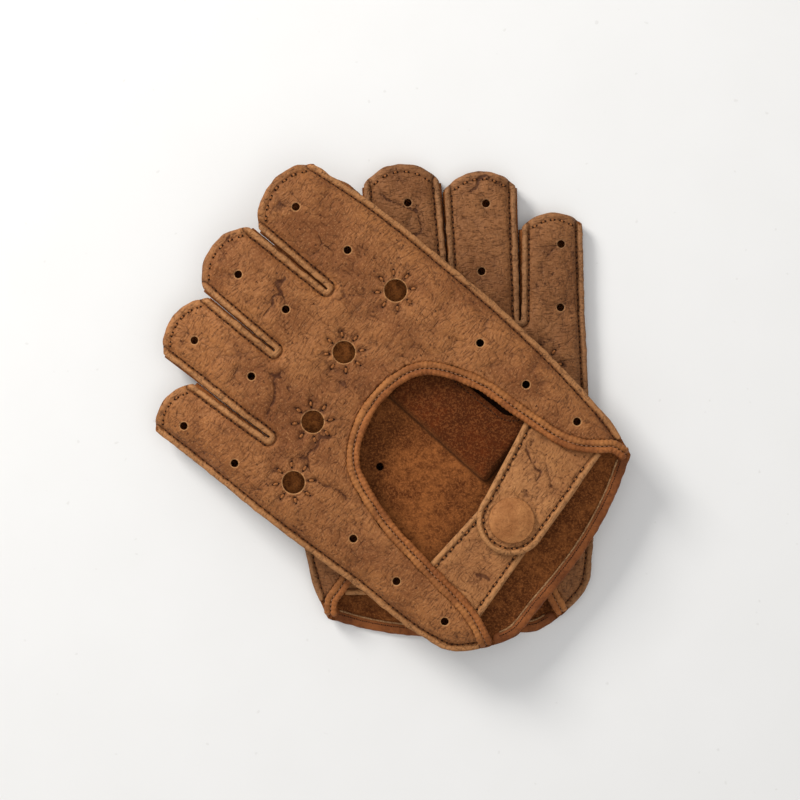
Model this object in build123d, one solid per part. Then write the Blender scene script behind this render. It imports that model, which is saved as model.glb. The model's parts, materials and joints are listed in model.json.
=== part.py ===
from build123d import *
from math import atan, cos, degrees, radians, sin
import os

# A pair of half-finger driving gloves in soft hide, left glove lying across the right one.
# One glove is designed in its own frame: a left hand, back up, +Y to the fingers, +X to the
# thumb side, origin at the middle of the cuff, Z = 0 under the palm. The right glove is its
# mirror image. Both are then laid in the frame of the pair: +Z up, Z = 0 on the table.

# ---- leather and heights, mm
hide = 1.0                  # leather of the back, the palm, the strap and the tab
fourchette_hide = 0.8       # thinner leather between the fingers and in the thumb
hand_gap = 8.0              # clear height inside the hand and the finger stalls
roll_height = 2.2           # rolled binding round the back opening
roll_width = 2.45           # each of its two rolls
thumb_lift = 4.0            # how far the folded thumb stall lifts the palm
wrist_binding_width = 4.2
wrist_binding_height = 2.4

# ---- plan of one glove
thumb_half = 58.5           # widest, cuff middle to the thumb-side edge
pinky_half = 60.0           # widest, cuff middle to the pinky-side edge
cuff_thumb = (45.6, 0.7)
cuff_pinky = (-45.0, -2.0)
wrist_low = -9.0            # lowest point of the curved palm edge
finger_tops = (169.0, 172.0, 167.4, 150.4)      # index, middle, ring, pinky
tip_rounds = (7.2, 7.0, 5.9, 5.0)               # how far each tip's corners lie below its top
slit_tops_x = (23.1, -7.3, -36.1)
slit_ends = ((22.6, 128.0), (-7.7, 128.6), (-34.2, 109.8))
slit_width = 1.8            # at the fingertips
slit_end_width = 0.8

# ---- holes
knuckle_holes = ((38.1, 107.7), (8.2, 108.2), (-19.2, 101.0), (-41.2, 92.4))
knuckle_hole_radius = 4.2
finger_vents = ((39.0, 156.0), (38.6, 131.0), (6.0, 157.0), (7.0, 135.0),
                (-23.6, 155.0), (-20.4, 129.4), (-51.2, 138.0), (-49.6, 114.0))
side_vents = ((42.6, 71.0), (41.3, 48.0), (42.5, 24.6),
              (-43.6, 62.0), (-45.8, 39.6), (-46.2, 16.2))
palm_vent = (-16.8, 71.0)
vent_radius = 1.5

# ---- opening in the back
arch_top = 90.5
arch_thumb = 34.8           # side of the opening beside the strap
arch_pinky = -36.6

# ---- thumb stall, folded flat under the palm
thumb_tip_x = 4.5
thumb_hole_x = (27.5, 46.0)
thumb_y = (40.0, 82.0)
thumb_hole_round = 6.0
palm_slope = 3.6            # width of the slope round the lifted palm
fold_clearance = 0.6        # round the folded thumb

# ---- snap strap and stud tab
snap = (-1.3, 20.6)         # centre of the snap
hinge_x = 28.5              # line that the strap bends on
strap_foot_y = (10.5, 40.0)
strap_end_radius = 13.0
tab_end_radius = 11.5
strap_root_length = 9.0
tab_root_x = -42.0
hinge_gap = 1.4             # from the sewn end of the strap to the part that lifts
cap_radius = 8.5
cap_height = 2.7
cover_hide = 0.7            # leather over the metal cap
socket_radius = 6.2
socket_height = 1.25
stud_radius = 2.9
stud_flange_radius = 5.5
stud_flange = 0.4
rivet_radius = 1.6
eyelet_height = 0.6
snap_clearance = 0.5        # round the stud
snap_play = 0.15            # above and below the socket

# ---- thread
thread = 0.7
thread_height = 0.3
seam_inset = 1.9            # outseam stitches, in from the raw edge
seam_pitch = 6.0
tip_inset = 3.0
tip_pitch = 4.0
strap_inset = 2.2
strap_pitch = 5.2
wrist_pitch = 3.2
knuckle_ring = 2.6          # stitches round a knuckle hole, out from its edge
knuckle_stitches = 8

# ---- how the pair lies
left_at = (61.2, -54.3)
left_turn = 51.1
right_at = (21.2, -79.3)
right_turn = 3.4
pair_gap = 0.4              # between the right glove's snap cap and the left glove
drape_start = -48.0         # the left glove bends down beyond this
drape_length = 40.0
drape_drop = 10.4

# ---- worked out
palm_top = hide
back_under = palm_top + hand_gap
back_top = back_under + hide
seam_z = (palm_top + back_under) / 2
roll_top = back_under + roll_height
tab_under = back_under - hide
socket_under = back_under + stud_flange + snap_play
strap_under = socket_under + socket_height
strap_top = strap_under + hide
cap_top = strap_top + cap_height
stack = cap_top + pair_gap
far = 90.0                  # well outside one glove
tall = 80.0                 # well above the pair


# ---- plans in the glove's own frame
def thumb_side():
    """Edge of the hand from the cuff to the index fingertip."""
    shares = ((0.855, 12.5), (0.906, 28.0), (0.98, 68.0), (1.0, 104.0), (0.997, 135.0))
    middle = [(thumb_half * share, y) for share, y in shares]
    return [cuff_thumb] + middle + [finger_corners(0)[0]]


def pinky_side():
    """Edge of the hand from the pinky fingertip to the cuff."""
    shares = ((0.983, 115.0), (0.975, 85.0), (0.95, 49.0), (0.933, 17.0), (0.9, 8.0))
    middle = [(-pinky_half * share, y) for share, y in shares]
    return [finger_corners(3)[1]] + middle + [cuff_pinky]


def finger_corners(finger):
    """Thumb-side and pinky-side corner of one fingertip."""
    y = finger_tops[finger] - tip_rounds[finger]
    outer = thumb_half - 2.7 if finger == 0 else slit_tops_x[finger - 1] - slit_width / 2
    inner = -pinky_half if finger == 3 else slit_tops_x[finger] + slit_width / 2
    return (outer, y), (inner, y)


def finger_tip(finger, inset=0.0):
    """Round end of one finger, from its thumb-side corner to its pinky-side corner."""
    (outer, y), (inner, _) = finger_corners(finger)
    top = finger_tops[finger] - inset
    return ThreePointArc((outer - inset, y - inset), ((outer + inner) / 2, top), (inner + inset, y - inset))


def wrist_points(up=0.0):
    """The palm's curved wrist edge, thumb side to pinky side."""
    shares = ((34.0, 0.4), (11.0, 0.93), (-20.0, 1.0), (-36.0, 0.9))
    middle = [(x, wrist_low * share) for x, share in shares]
    return [(x, y + up) for x, y in [cuff_thumb] + middle + [cuff_pinky]]


def closed(edges):
    return Face(Wire(edges))


def hand_plan(cuff_edge):
    """The whole outline with its finger slits, closed by the given edge at the cuff."""
    edges = [Spline(*thumb_side())]
    for finger in range(4):
        edges.append(finger_tip(finger))
        if finger < 3:
            end_x, end_y = slit_ends[finger]
            right_end = (end_x + slit_end_width / 2, end_y)
            left_end = (end_x - slit_end_width / 2, end_y)
            edges.append(Line(finger_corners(finger)[1], right_end))
            edges.append(Line(right_end, left_end))
            edges.append(Line(left_end, finger_corners(finger + 1)[0]))
    edges.append(Spline(*pinky_side()))
    edges.append(cuff_edge)
    return closed(edges)


def opening_curve(inset):
    """The arch of the opening, or a line that runs inside it at an even distance."""
    arch = Spline(
        (cuff_thumb[0] + 1.4, 8.0), (arch_thumb + 2.8, 21.6), (arch_thumb, 41.5),
        (arch_thumb - 1.8, 63.0), (arch_thumb - 13.0, arch_top - 5.5), (2.0, arch_top),
        (arch_pinky + 13.8, arch_top - 8.5), (arch_pinky + 3.6, 60.0), (arch_pinky - 0.9, 33.0),
        (arch_pinky - 4.4, 10.0), (cuff_pinky[0] + 1.0, 2.4))
    stations = 30
    points = []
    for i in range(stations + 1):
        share = i / stations
        points.append(arch @ share + (arch % share).rotate(Axis.Z, 90) * inset)
    return Spline(*points)


def opening_plan(inset=0.0):
    """The opening in the back, run on past the cuff."""
    curve = opening_curve(inset)
    start = curve @ 0
    end = curve @ 1
    right = (start.X + 14, start.Y - 5)
    left = (end.X - 12, end.Y - 10)
    return closed([
        curve, Line(end, left), Line(left, (left[0], -far)), Line((left[0], -far), (right[0], -far)),
        Line((right[0], -far), right), Line(right, start)])


def wrist_band_plan():
    """Everything below the upper edge of the wrist binding."""
    points = wrist_points(wrist_binding_width)
    thumb_end = (far, points[0][1])
    pinky_end = (-far, points[-1][1])
    return closed([
        Line(thumb_end, points[0]), Spline(*points), Line(points[-1], pinky_end),
        Line(pinky_end, (-far, -far)), Line((-far, -far), (far, -far)), Line((far, -far), thumb_end)])


def side_wall_plan():
    """One thickness of leather along each side of the hand, where the back turns to the palm."""
    walls = []
    for points, shift in ((thumb_side(), -hide), (pinky_side()[::-1], hide)):
        foot = (0, points[0][1])
        head = (0, points[-1][1])
        side = closed([Line(foot, points[0]), Spline(*points), Line(points[-1], head), Line(head, foot)])
        walls.append(side - Pos(shift, 0, 0) * side)
    return walls


def box_plan(x_span, y_span):
    centre = Pos(sum(x_span) / 2, sum(y_span) / 2, 0)
    return centre * Rectangle(abs(x_span[1] - x_span[0]), abs(y_span[1] - y_span[0])).face()


def rounded_plan(x_span, y_span, radius):
    centre = Pos(sum(x_span) / 2, sum(y_span) / 2, 0)
    return centre * RectangleRounded(x_span[1] - x_span[0], y_span[1] - y_span[0], radius).face()


def fourchette_plan(slit):
    """The strip between two fingers, folded round the end of their slit."""
    end_x, end_y = slit_ends[slit]
    top_x = slit_tops_x[slit]
    right_y = finger_corners(slit)[1][1] - 1.0
    left_y = finger_corners(slit + 1)[0][1] - 1.0

    def wedge(spread, end_drop):
        half_top = slit_width / 2 + spread
        half_end = slit_end_width / 2 + spread
        return Polyline(
            (top_x + half_top, right_y), (end_x + half_end, end_y - end_drop),
            (end_x - half_end, end_y - end_drop), (top_x - half_top, left_y), close=True)

    outside = Face(Wire(wedge(fourchette_hide, fourchette_hide).edges()))
    gap_top = max(right_y, left_y) + far / 10
    gap = closed(Polyline(
        (top_x + slit_width / 2, finger_corners(slit)[1][1]), (end_x + slit_end_width / 2, end_y),
        (end_x - slit_end_width / 2, end_y), (top_x - slit_width / 2, finger_corners(slit + 1)[0][1]),
        (top_x - slit_width / 2, gap_top), (top_x + slit_width / 2, gap_top), close=True).edges())
    return outside - gap


def strap_plan():
    """The part of the strap that lifts, with its round end about the snap."""
    x, y = snap
    upper = (x, y + strap_end_radius)
    lower = (x, y - strap_end_radius)
    return closed([
        Line((hinge_x, strap_foot_y[0]), (hinge_x, strap_foot_y[1])),
        Line((hinge_x, strap_foot_y[1]), upper),
        ThreePointArc(upper, (x - strap_end_radius, y), lower),
        Line(lower, (hinge_x, strap_foot_y[0]))])


def tab_plan():
    """The tab that carries the stud, reaching in from the pinky side."""
    x, y = snap
    upper = (x, y + tab_end_radius)
    lower = (x, y - tab_end_radius)
    spread = 2.5
    return closed([
        Line((tab_root_x, lower[1] - spread), lower),
        ThreePointArc(lower, (x + tab_end_radius, y), upper),
        Line(upper, (tab_root_x, upper[1] + spread)),
        Line((tab_root_x, upper[1] + spread), (tab_root_x, lower[1] - spread))])


# ---- laying a piece down
def drape_height(x):
    """Height of the left glove's underside over the table, along the pair's X."""
    bend = 2 * atan(drape_drop / drape_length)
    radius = drape_length / (2 * sin(bend))
    run = drape_start - x
    if run <= 0:
        return stack
    if run >= drape_length:
        return stack - drape_drop
    if run <= drape_length / 2:
        return stack - radius + (radius ** 2 - run ** 2) ** 0.5
    rest = drape_length - run
    return stack - drape_drop + radius - (radius ** 2 - rest ** 2) ** 0.5


def drape_slope(x):
    step = 0.01
    return (drape_height(x + step) - drape_height(x - step)) / (2 * step)


def drape_edges(up):
    """The curve that the left glove bends along, raised to one level in its thickness."""
    quarter = drape_length / 4

    def at(x):
        return Vector(x, 0, drape_height(x) + up)

    middle = drape_start - drape_length / 2
    end = drape_start - drape_length
    return [
        Line(at(2 * far), at(drape_start)),
        ThreePointArc(at(drape_start), at(drape_start - quarter), at(middle)),
        ThreePointArc(at(middle), at(middle - quarter), at(end)),
        Line(at(end), at(-2 * far))]


def drape_slab(low, high):
    """Everything between two levels of the draped glove's thickness."""
    bottom = drape_edges(low)
    top = drape_edges(high)
    sides = [Line(bottom[0] @ 0, top[0] @ 0), Line(bottom[-1] @ 1, top[-1] @ 1)]
    profile = Face(Wire(bottom + top + sides))
    return Pos(0, 2 * far, 0) * extrude(profile, amount=4 * far, dir=(0, -1, 0))


left_place = Pos(*left_at, 0) * Rot(0, 0, left_turn)
right_place = Pos(*right_at, 0) * Rot(0, 0, right_turn)


def lay(hand, solid):
    """Put a flat piece, modelled in the glove's own frame, where its glove lies."""
    if hand == "left":
        return left_place * Pos(0, 0, stack) * solid
    return right_place * mirror(solid, about=Plane.YZ)


def cut_out(hand, plans, low, high):
    """Leather cut to some plans, between two levels, following the way its glove lies."""
    if hand == "right":
        return lay(hand, Pos(0, 0, low) * extrude(Sketch(plans), amount=high - low, dir=(0, 0, 1)))
    prism = left_place * extrude(Sketch(plans), amount=tall, dir=(0, 0, 1))
    return prism & drape_slab(low, high)


def stitch(hand, point, direction, level, length):
    """One stitch lying on the leather."""
    angle = Vector(1, 0, 0).get_signed_angle(Vector(direction.X, direction.Y, 0), Vector(0, 0, 1))
    block = Pos(0, 0, thread_height / 2) * Box(length, thread, thread_height)
    if hand == "right":
        return lay(hand, Pos(point.X, point.Y, level) * Rot(0, 0, angle) * block)
    spot = left_place.position + Vector(point.X, point.Y, 0).rotate(Axis.Z, left_turn)
    slope = degrees(atan(drape_slope(spot.X)))
    lift = 0.0 if slope == 0 else 0.1
    return (Pos(spot.X, spot.Y, drape_height(spot.X) + level) * Rot(0, -slope, 0)
            * Pos(0, 0, lift) * Rot(0, 0, angle + left_turn) * block)


def stitch_row(hand, path, pitch, level, length):
    """Even stitches along a line."""
    count = max(2, round(path.length / pitch))
    shares = [(i + 0.5) / count for i in range(count)]
    return [stitch(hand, path @ share, path % share, level, length) for share in shares]


def ring_of_stitches(hand, centre, radius, count, level, length):
    """Short stitches round a hole, each pointing at its middle."""
    stitches = []
    for i in range(count):
        out = Vector(1, 0, 0).rotate(Axis.Z, 360 * i / count)
        stitches.append(stitch(hand, Vector(*centre, 0) + out * radius, out, level, length))
    return stitches


# ---- the pieces of one glove
def back_panel(hand):
    straight_cuff = Line(cuff_pinky, cuff_thumb)
    plan = hand_plan(straight_cuff) - opening_plan()
    for centre in knuckle_holes:
        plan -= Pos(*centre, 0) * Circle(knuckle_hole_radius).face()
    for centre in finger_vents + side_vents:
        plan -= Pos(*centre, 0) * Circle(vent_radius).face()
    panel = cut_out(hand, plan.faces(), back_under, back_top)
    for wall in side_wall_plan():
        panel += cut_out(hand, wall.faces(), seam_z, back_under)
    return panel


def thumb_hill(raised):
    """A block with sloping sides: the form of the palm where the folded thumb lifts it."""
    grow = fold_clearance + hide + (hide if raised else 0)
    base = box_plan((thumb_tip_x - grow - palm_slope, thumb_hole_x[1] + grow + palm_slope),
                    (thumb_y[0] - grow - palm_slope, thumb_y[1] + grow + palm_slope))
    top = box_plan((thumb_tip_x - grow, thumb_hole_x[1] + grow), (thumb_y[0] - grow, thumb_y[1] + grow))
    height = thumb_lift + (hide if raised else 0)
    return loft([base, Pos(0, 0, height) * top])


def palm_panel(hand):
    plan = hand_plan(Spline(*wrist_points()[::-1])) - wrist_band_plan()
    plan -= Pos(*palm_vent, 0) * Circle(vent_radius).face()
    panel = cut_out(hand, plan.faces(), 0, palm_top)
    for wall in side_wall_plan():
        panel += cut_out(hand, (wall - wrist_band_plan()).faces(), palm_top, seam_z)
    hole = Pos(0, 0, thumb_lift - 1) * extrude(thumb_hole_plan(), amount=hide + 2, dir=(0, 0, 1))
    return panel + lay(hand, thumb_hill(True) - thumb_hill(False) - hole) - lay(hand, thumb_hill(False))


def thumb_hole_plan():
    inset = fourchette_hide + 1.2
    return rounded_plan(thumb_hole_x, (thumb_y[0] + inset, thumb_y[1] - inset), thumb_hole_round)


def thumb_stall(hand):
    """A short flat tube: its mouth is under the hole in the palm, its open tip points inwards."""
    outside = (thumb_tip_x, thumb_hole_x[1] + fourchette_hide)
    stall = extrude(box_plan(outside, thumb_y), amount=thumb_lift, dir=(0, 0, 1))
    inside = box_plan((thumb_tip_x - 1, thumb_hole_x[1]),
                      (thumb_y[0] + fourchette_hide, thumb_y[1] - fourchette_hide))
    stall -= Pos(0, 0, fourchette_hide) * extrude(inside, amount=thumb_lift - 2 * fourchette_hide, dir=(0, 0, 1))
    stall -= Pos(0, 0, fourchette_hide) * extrude(thumb_hole_plan(), amount=thumb_lift, dir=(0, 0, 1))
    return lay(hand, stall)


def fourchette(hand, slit):
    return cut_out(hand, fourchette_plan(slit).faces(), palm_top, back_under)


def opening_roll(hand, roll):
    """One of the two rolls of the binding, from its outer edge inwards."""
    straight_cuff = Line(cuff_pinky, cuff_thumb)
    band = opening_plan(roll * roll_width) - opening_plan((roll + 1) * roll_width)
    band = band & hand_plan(straight_cuff)
    return lay(hand, Pos(0, 0, back_under) * extrude(Sketch(band.faces()), amount=roll_height, dir=(0, 0, 1)))


def opening_thread(hand):
    """Close stitching in the ditch between the two rolls."""
    straight_cuff = Line(cuff_pinky, cuff_thumb)
    line = opening_plan(roll_width - thread / 2) - opening_plan(roll_width + thread / 2)
    line = line & hand_plan(straight_cuff)
    return lay(hand, Pos(0, 0, roll_top) * extrude(Sketch(line.faces()), amount=thread_height, dir=(0, 0, 1)))


def wrist_binding(hand):
    band = hand_plan(Spline(*wrist_points()[::-1])) & wrist_band_plan()
    return lay(hand, extrude(Sketch(band.faces()), amount=wrist_binding_height, dir=(0, 0, 1)))


def snap_strap(hand):
    strap = extrude(strap_plan(), amount=hide, dir=(0, 0, 1))
    strap -= Pos(*snap, 0) * Cylinder(rivet_radius, 4 * hide)
    return lay(hand, Pos(0, 0, strap_under) * strap)


def strap_root(hand):
    """The end of the strap that is sewn under the edge of the opening."""
    near = hinge_x + hinge_gap
    root = extrude(box_plan((near, near + strap_root_length), strap_foot_y), amount=hide, dir=(0, 0, 1))
    return lay(hand, Pos(0, 0, tab_under) * root)


def stud_tab(hand):
    tab = extrude(tab_plan(), amount=hide, dir=(0, 0, 1))
    tab -= Pos(*snap, 0) * Cylinder(rivet_radius, 4 * hide)
    return lay(hand, Pos(0, 0, tab_under) * tab)


def dome(radius, height):
    """A low round cap, flat underneath, with a short upright rim."""
    crown = height * 0.65
    ball = (radius ** 2 + crown ** 2) / (2 * crown)
    return Pos(0, 0, height / 2) * Cylinder(radius, height) & Pos(0, 0, height - ball) * Sphere(ball)


def at_snap(level):
    return Pos(*snap, level)


def cap_shell(hand):
    shell = dome(cap_radius - cover_hide, cap_height - cover_hide)
    rivet = Pos(0, 0, -hide / 2) * Cylinder(rivet_radius, hide)
    return lay(hand, at_snap(strap_top) * (shell + rivet))


def cap_cover(hand):
    cover = dome(cap_radius, cap_height) - dome(cap_radius - cover_hide, cap_height - cover_hide)
    return lay(hand, at_snap(strap_top) * cover)


def snap_socket(hand):
    ring = Cylinder(socket_radius, socket_height) - Cylinder(stud_radius + snap_clearance, 2 * socket_height)
    return lay(hand, at_snap(socket_under + socket_height / 2) * ring)


def snap_stud(hand):
    flange = Pos(0, 0, stud_flange / 2) * Cylinder(stud_flange_radius, stud_flange)
    head_height = strap_under - snap_play - back_under
    head = Pos(0, 0, head_height / 2) * Cylinder(stud_radius, head_height)
    rivet = Pos(0, 0, -hide / 2) * Cylinder(rivet_radius, hide)
    return lay(hand, at_snap(back_under) * (flange + head + rivet))


def stud_eyelet(hand):
    """The rivet plate that clamps the stud from inside the glove."""
    return lay(hand, at_snap(tab_under - eyelet_height / 2) * Cylinder(stud_flange_radius - 0.5, eyelet_height))


# ---- the threads of one glove
def outseam_thread(hand):
    """Running stitches down both sides and both edges of each finger slit."""
    clear_of_binding = 16.0
    stitches = []
    for points, inward in ((thumb_side(), -1), (pinky_side()[::-1], 1)):
        high = [(x + inward * seam_inset, y) for x, y in points if y > clear_of_binding]
        high[-1] = (high[-1][0], high[-1][1] - tip_inset)
        stitches += stitch_row(hand, Spline(*high), seam_pitch, back_top, seam_pitch / 2)
    for slit in range(3):
        end_x, end_y = slit_ends[slit]
        for side, corner in ((1, finger_corners(slit)[1]), (-1, finger_corners(slit + 1)[0])):
            low = (end_x + side * (slit_end_width / 2 + seam_inset), end_y + seam_inset)
            top = (corner[0] + side * seam_inset, corner[1] - 2 * tip_inset)
            stitches += stitch_row(hand, Line(low, top), seam_pitch, back_top, seam_pitch / 2)
    return Compound(stitches)


def fingertip_thread(hand):
    stitches = []
    for finger in range(4):
        stitches += stitch_row(hand, finger_tip(finger, tip_inset), tip_pitch, back_top, tip_pitch / 2)
    return Compound(stitches)


def wrist_thread(hand):
    inner = Spline(*wrist_points(wrist_binding_width - 1.4)[1:-1])
    return Compound(stitch_row(hand, inner, wrist_pitch, wrist_binding_height, wrist_pitch * 0.6))


def strap_thread(hand):
    x, y = snap
    reach = strap_end_radius - strap_inset
    near = hinge_x - strap_inset
    low_foot = (near, strap_foot_y[0] + strap_inset)
    high_foot = (near, strap_foot_y[1] - strap_inset)
    stitches = stitch_row(hand, Line(low_foot, (x, y - reach)), strap_pitch, strap_top, strap_pitch / 2)
    stitches += stitch_row(hand, Line((x, y + reach), high_foot), strap_pitch, strap_top, strap_pitch / 2)
    end = ThreePointArc((x, y + reach), (x - reach, y), (x, y - reach))
    stitches += stitch_row(hand, end, strap_pitch * 0.85, strap_top, strap_pitch / 2)
    return Compound(stitches)


def tab_thread(hand):
    """Stitches along the two edges of the tab, where it shows."""
    x, y = snap
    start = x - strap_end_radius - 2
    end = arch_pinky + 2 * roll_width + 2
    stitches = []
    for side in (1, -1):
        edge = y + side * (tab_end_radius - strap_inset)
        line = Line((start, edge), (end, edge + side * 1.5))
        stitches += stitch_row(hand, line, strap_pitch, back_under, strap_pitch / 2)
    return Compound(stitches)


def knuckle_thread(hand):
    stitches = []
    for centre in knuckle_holes:
        radius = knuckle_hole_radius + knuckle_ring
        stitches += ring_of_stitches(hand, centre, radius, knuckle_stitches, back_top, 1.6)
    return Compound(stitches)


def thumb_thread(hand):
    """The seam that joins the thumb stall to the hole in the palm."""
    inset = fourchette_hide + 1.2
    y_low = thumb_y[0] + inset + thumb_hole_round
    y_high = thumb_y[1] - inset - thumb_hole_round
    stitches = []
    for x in (thumb_hole_x[0] - 1.2, thumb_hole_x[1] + 1.2):
        stitches += stitch_row(hand, Line((x, y_low), (x, y_high)), 4.0, thumb_lift + hide, 2.0)
    return Compound(stitches)


pieces = {
    "back_panel": back_panel,
    "palm_panel": palm_panel,
    "thumb_stall": thumb_stall,
    "fourchette_index_middle": lambda hand: fourchette(hand, 0),
    "fourchette_middle_ring": lambda hand: fourchette(hand, 1),
    "fourchette_ring_pinky": lambda hand: fourchette(hand, 2),
    "opening_outer_roll": lambda hand: opening_roll(hand, 0),
    "opening_inner_roll": lambda hand: opening_roll(hand, 1),
    "wrist_binding": wrist_binding,
    "strap_root": strap_root,
    "snap_strap": snap_strap,
    "stud_tab": stud_tab,
    "snap_cap_cover": cap_cover,
    "snap_cap_shell": cap_shell,
    "snap_socket": snap_socket,
    "snap_stud": snap_stud,
    "stud_eyelet": stud_eyelet,
    "outseam_thread": outseam_thread,
    "fingertip_thread": fingertip_thread,
    "opening_thread": opening_thread,
    "wrist_thread": wrist_thread,
    "strap_thread": strap_thread,
    "tab_thread": tab_thread,
    "knuckle_thread": knuckle_thread,
    "thumb_thread": thumb_thread,
}

made = {hand + "_" + name: make(hand) for hand in ("right", "left") for name, make in pieces.items()}

# ---- the pair's origin: middle of its plan, on the table
box = Compound(list(made.values())).bounding_box()
centre = Pos(-(box.min.X + box.max.X) / 2, -(box.min.Y + box.max.Y) / 2, -box.min.Z)

os.makedirs("parts", exist_ok=True)
for name, shape in made.items():
    solids = [centre * solid for solid in shape.solids()]
    export_step(solids[0] if len(solids) == 1 else Compound(solids), "parts/" + name + ".step")

# ---- places that the joints and mounts use, mm
hinge_middle = Pos(hinge_x, sum(strap_foot_y) / 2, strap_top) * Sphere(0.01)
for hand in ("left", "right"):
    turn = left_turn if hand == "left" else right_turn
    side = 1 if hand == "left" else -1
    spot = (centre * lay(hand, hinge_middle)).center()
    axis = (-side * sin(radians(turn)), side * cos(radians(turn)), 0)
    print(hand, "strap hinge at", spot, "axis", axis)
print("pair box", box.size, "moved by", centre.position)
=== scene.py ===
import json
from math import atan, atan2, cos, pi, sin

import bpy
import numpy as np
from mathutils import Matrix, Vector, kdtree, noise
from mathutils.geometry import delaunay_2d_cdt


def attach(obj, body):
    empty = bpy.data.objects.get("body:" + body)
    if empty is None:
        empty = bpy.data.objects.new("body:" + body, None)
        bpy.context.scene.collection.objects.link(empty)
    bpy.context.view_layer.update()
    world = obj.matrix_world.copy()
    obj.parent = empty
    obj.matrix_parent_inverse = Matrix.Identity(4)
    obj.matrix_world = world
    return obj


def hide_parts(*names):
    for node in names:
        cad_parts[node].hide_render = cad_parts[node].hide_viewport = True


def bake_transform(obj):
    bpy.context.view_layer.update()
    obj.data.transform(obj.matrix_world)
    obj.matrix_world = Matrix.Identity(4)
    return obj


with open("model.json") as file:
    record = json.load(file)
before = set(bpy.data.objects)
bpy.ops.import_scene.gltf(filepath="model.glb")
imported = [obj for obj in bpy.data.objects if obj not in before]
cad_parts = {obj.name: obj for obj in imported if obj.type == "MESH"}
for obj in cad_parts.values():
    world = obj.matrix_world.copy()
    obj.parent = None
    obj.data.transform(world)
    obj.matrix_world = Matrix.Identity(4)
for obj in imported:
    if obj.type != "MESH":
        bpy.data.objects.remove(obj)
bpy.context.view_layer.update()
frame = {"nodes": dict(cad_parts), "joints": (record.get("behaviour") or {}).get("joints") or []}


# ================================================================ table, light and camera
# The pair lies on a plain pale table top, seen from straight above in soft window light that
# comes from the upper left.
def box_of_mesh(name, low, high):
    (x0, y0, z0), (x1, y1, z1) = low, high
    corners = [(x, y, z) for z in (z0, z1) for y in (y0, y1) for x in (x0, x1)]
    sides = [(0, 2, 3, 1), (4, 5, 7, 6), (0, 1, 5, 4), (2, 6, 7, 3), (0, 4, 6, 2), (1, 3, 7, 5)]
    mesh = bpy.data.meshes.new(name)
    mesh.from_pydata(corners, [], sides)
    piece = bpy.data.objects.new(name, mesh)
    bpy.context.scene.collection.objects.link(piece)
    return piece


def finish_named(name):
    """A new material, with its tree, its shader and its object coordinates."""
    material = bpy.data.materials.new(name)
    material.use_nodes = True
    tree = material.node_tree
    shader = tree.nodes["Principled BSDF"]
    place = tree.nodes.new("ShaderNodeTexCoord").outputs["Object"]
    return material, tree, shader, place


def put(tree, kind, inputs=(), **settings):
    """One node; a value or an output is given to each named input."""
    node = tree.nodes.new("ShaderNode" + kind)
    for key, value in settings.items():
        setattr(node, key, value)
    for key, value in dict(inputs).items():
        if isinstance(value, bpy.types.NodeSocket):
            tree.links.new(value, node.inputs[key])
        else:
            node.inputs[key].default_value = value
    return node


def grain_noise(tree, place, scale, detail=2.0, rough=0.5, warp=0.0):
    inputs = {"Vector": place, "Scale": scale, "Detail": detail, "Roughness": rough, "Distortion": warp}
    return put(tree, "TexNoise", inputs).outputs["Fac"]


def reach(tree, value, low, high, out_low=0.0, out_high=1.0):
    """Map a value from one range to another, smoothly and held at both ends."""
    inputs = {"Value": value, "From Min": low, "From Max": high, "To Min": out_low, "To Max": out_high}
    return put(tree, "MapRange", inputs, interpolation_type="SMOOTHSTEP").outputs["Result"]


def sums(tree, kind, a, b):
    return put(tree, "Math", {0: a, 1: b}, operation=kind).outputs[0]


def scaled(tree, a, b):
    return sums(tree, "MULTIPLY", a, b)


def blend_colour(tree, share, a, b):
    node = put(tree, "Mix", data_type="RGBA")
    for socket, value in ((node.inputs[0], share), (node.inputs[6], a), (node.inputs[7], b)):
        if isinstance(value, bpy.types.NodeSocket):
            tree.links.new(value, socket)
        else:
            socket.default_value = value
    return node.outputs[2]


def paint(tree, shader, colour, rough, height, depth, strength):
    """Give a finish its colour, roughness and relief."""
    tree.links.new(colour, shader.inputs["Base Color"])
    tree.links.new(rough, shader.inputs["Roughness"])
    bump = put(tree, "Bump", {"Height": height, "Distance": depth, "Strength": strength})
    tree.links.new(bump.outputs[0], shader.inputs["Normal"])


table_size = 5.0
table = box_of_mesh("table_top", (-table_size, -table_size, -0.02), (table_size, table_size, 0.0))
table_paint, tree, shader, place = finish_named("table_paint")
mottle = grain_noise(tree, place, 30.0, 4.0)
specks = reach(tree, grain_noise(tree, place, 260.0, 1.0), 0.74, 0.80)
tone = blend_colour(tree, mottle, (0.74, 0.735, 0.72, 1), (0.775, 0.77, 0.76, 1))
tone = blend_colour(tree, scaled(tree, specks, 0.25), tone, (0.5, 0.48, 0.45, 1))
paint(tree, shader, tone, reach(tree, mottle, 0.0, 1.0, 0.5, 0.6), mottle, 0.0003, 0.3)
table.data.materials.append(table_paint)

scene = bpy.context.scene
scene.view_settings.view_transform = "Standard"
world = bpy.data.worlds.new("soft_room")
world.use_nodes = True
world.node_tree.nodes["Background"].inputs["Color"].default_value = (0.98, 0.985, 1.0, 1)
world.node_tree.nodes["Background"].inputs["Strength"].default_value = 0.49
scene.world = world


def soft_lamp(name, at, aim, size, power, colour):
    lamp = bpy.data.lights.new(name, "AREA")
    lamp.size = size
    lamp.energy = power
    lamp.color = colour
    holder = bpy.data.objects.new(name, lamp)
    scene.collection.objects.link(holder)
    holder.location = at
    holder.rotation_euler = (Vector(aim) - Vector(at)).to_track_quat("-Z", "Y").to_euler()


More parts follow.
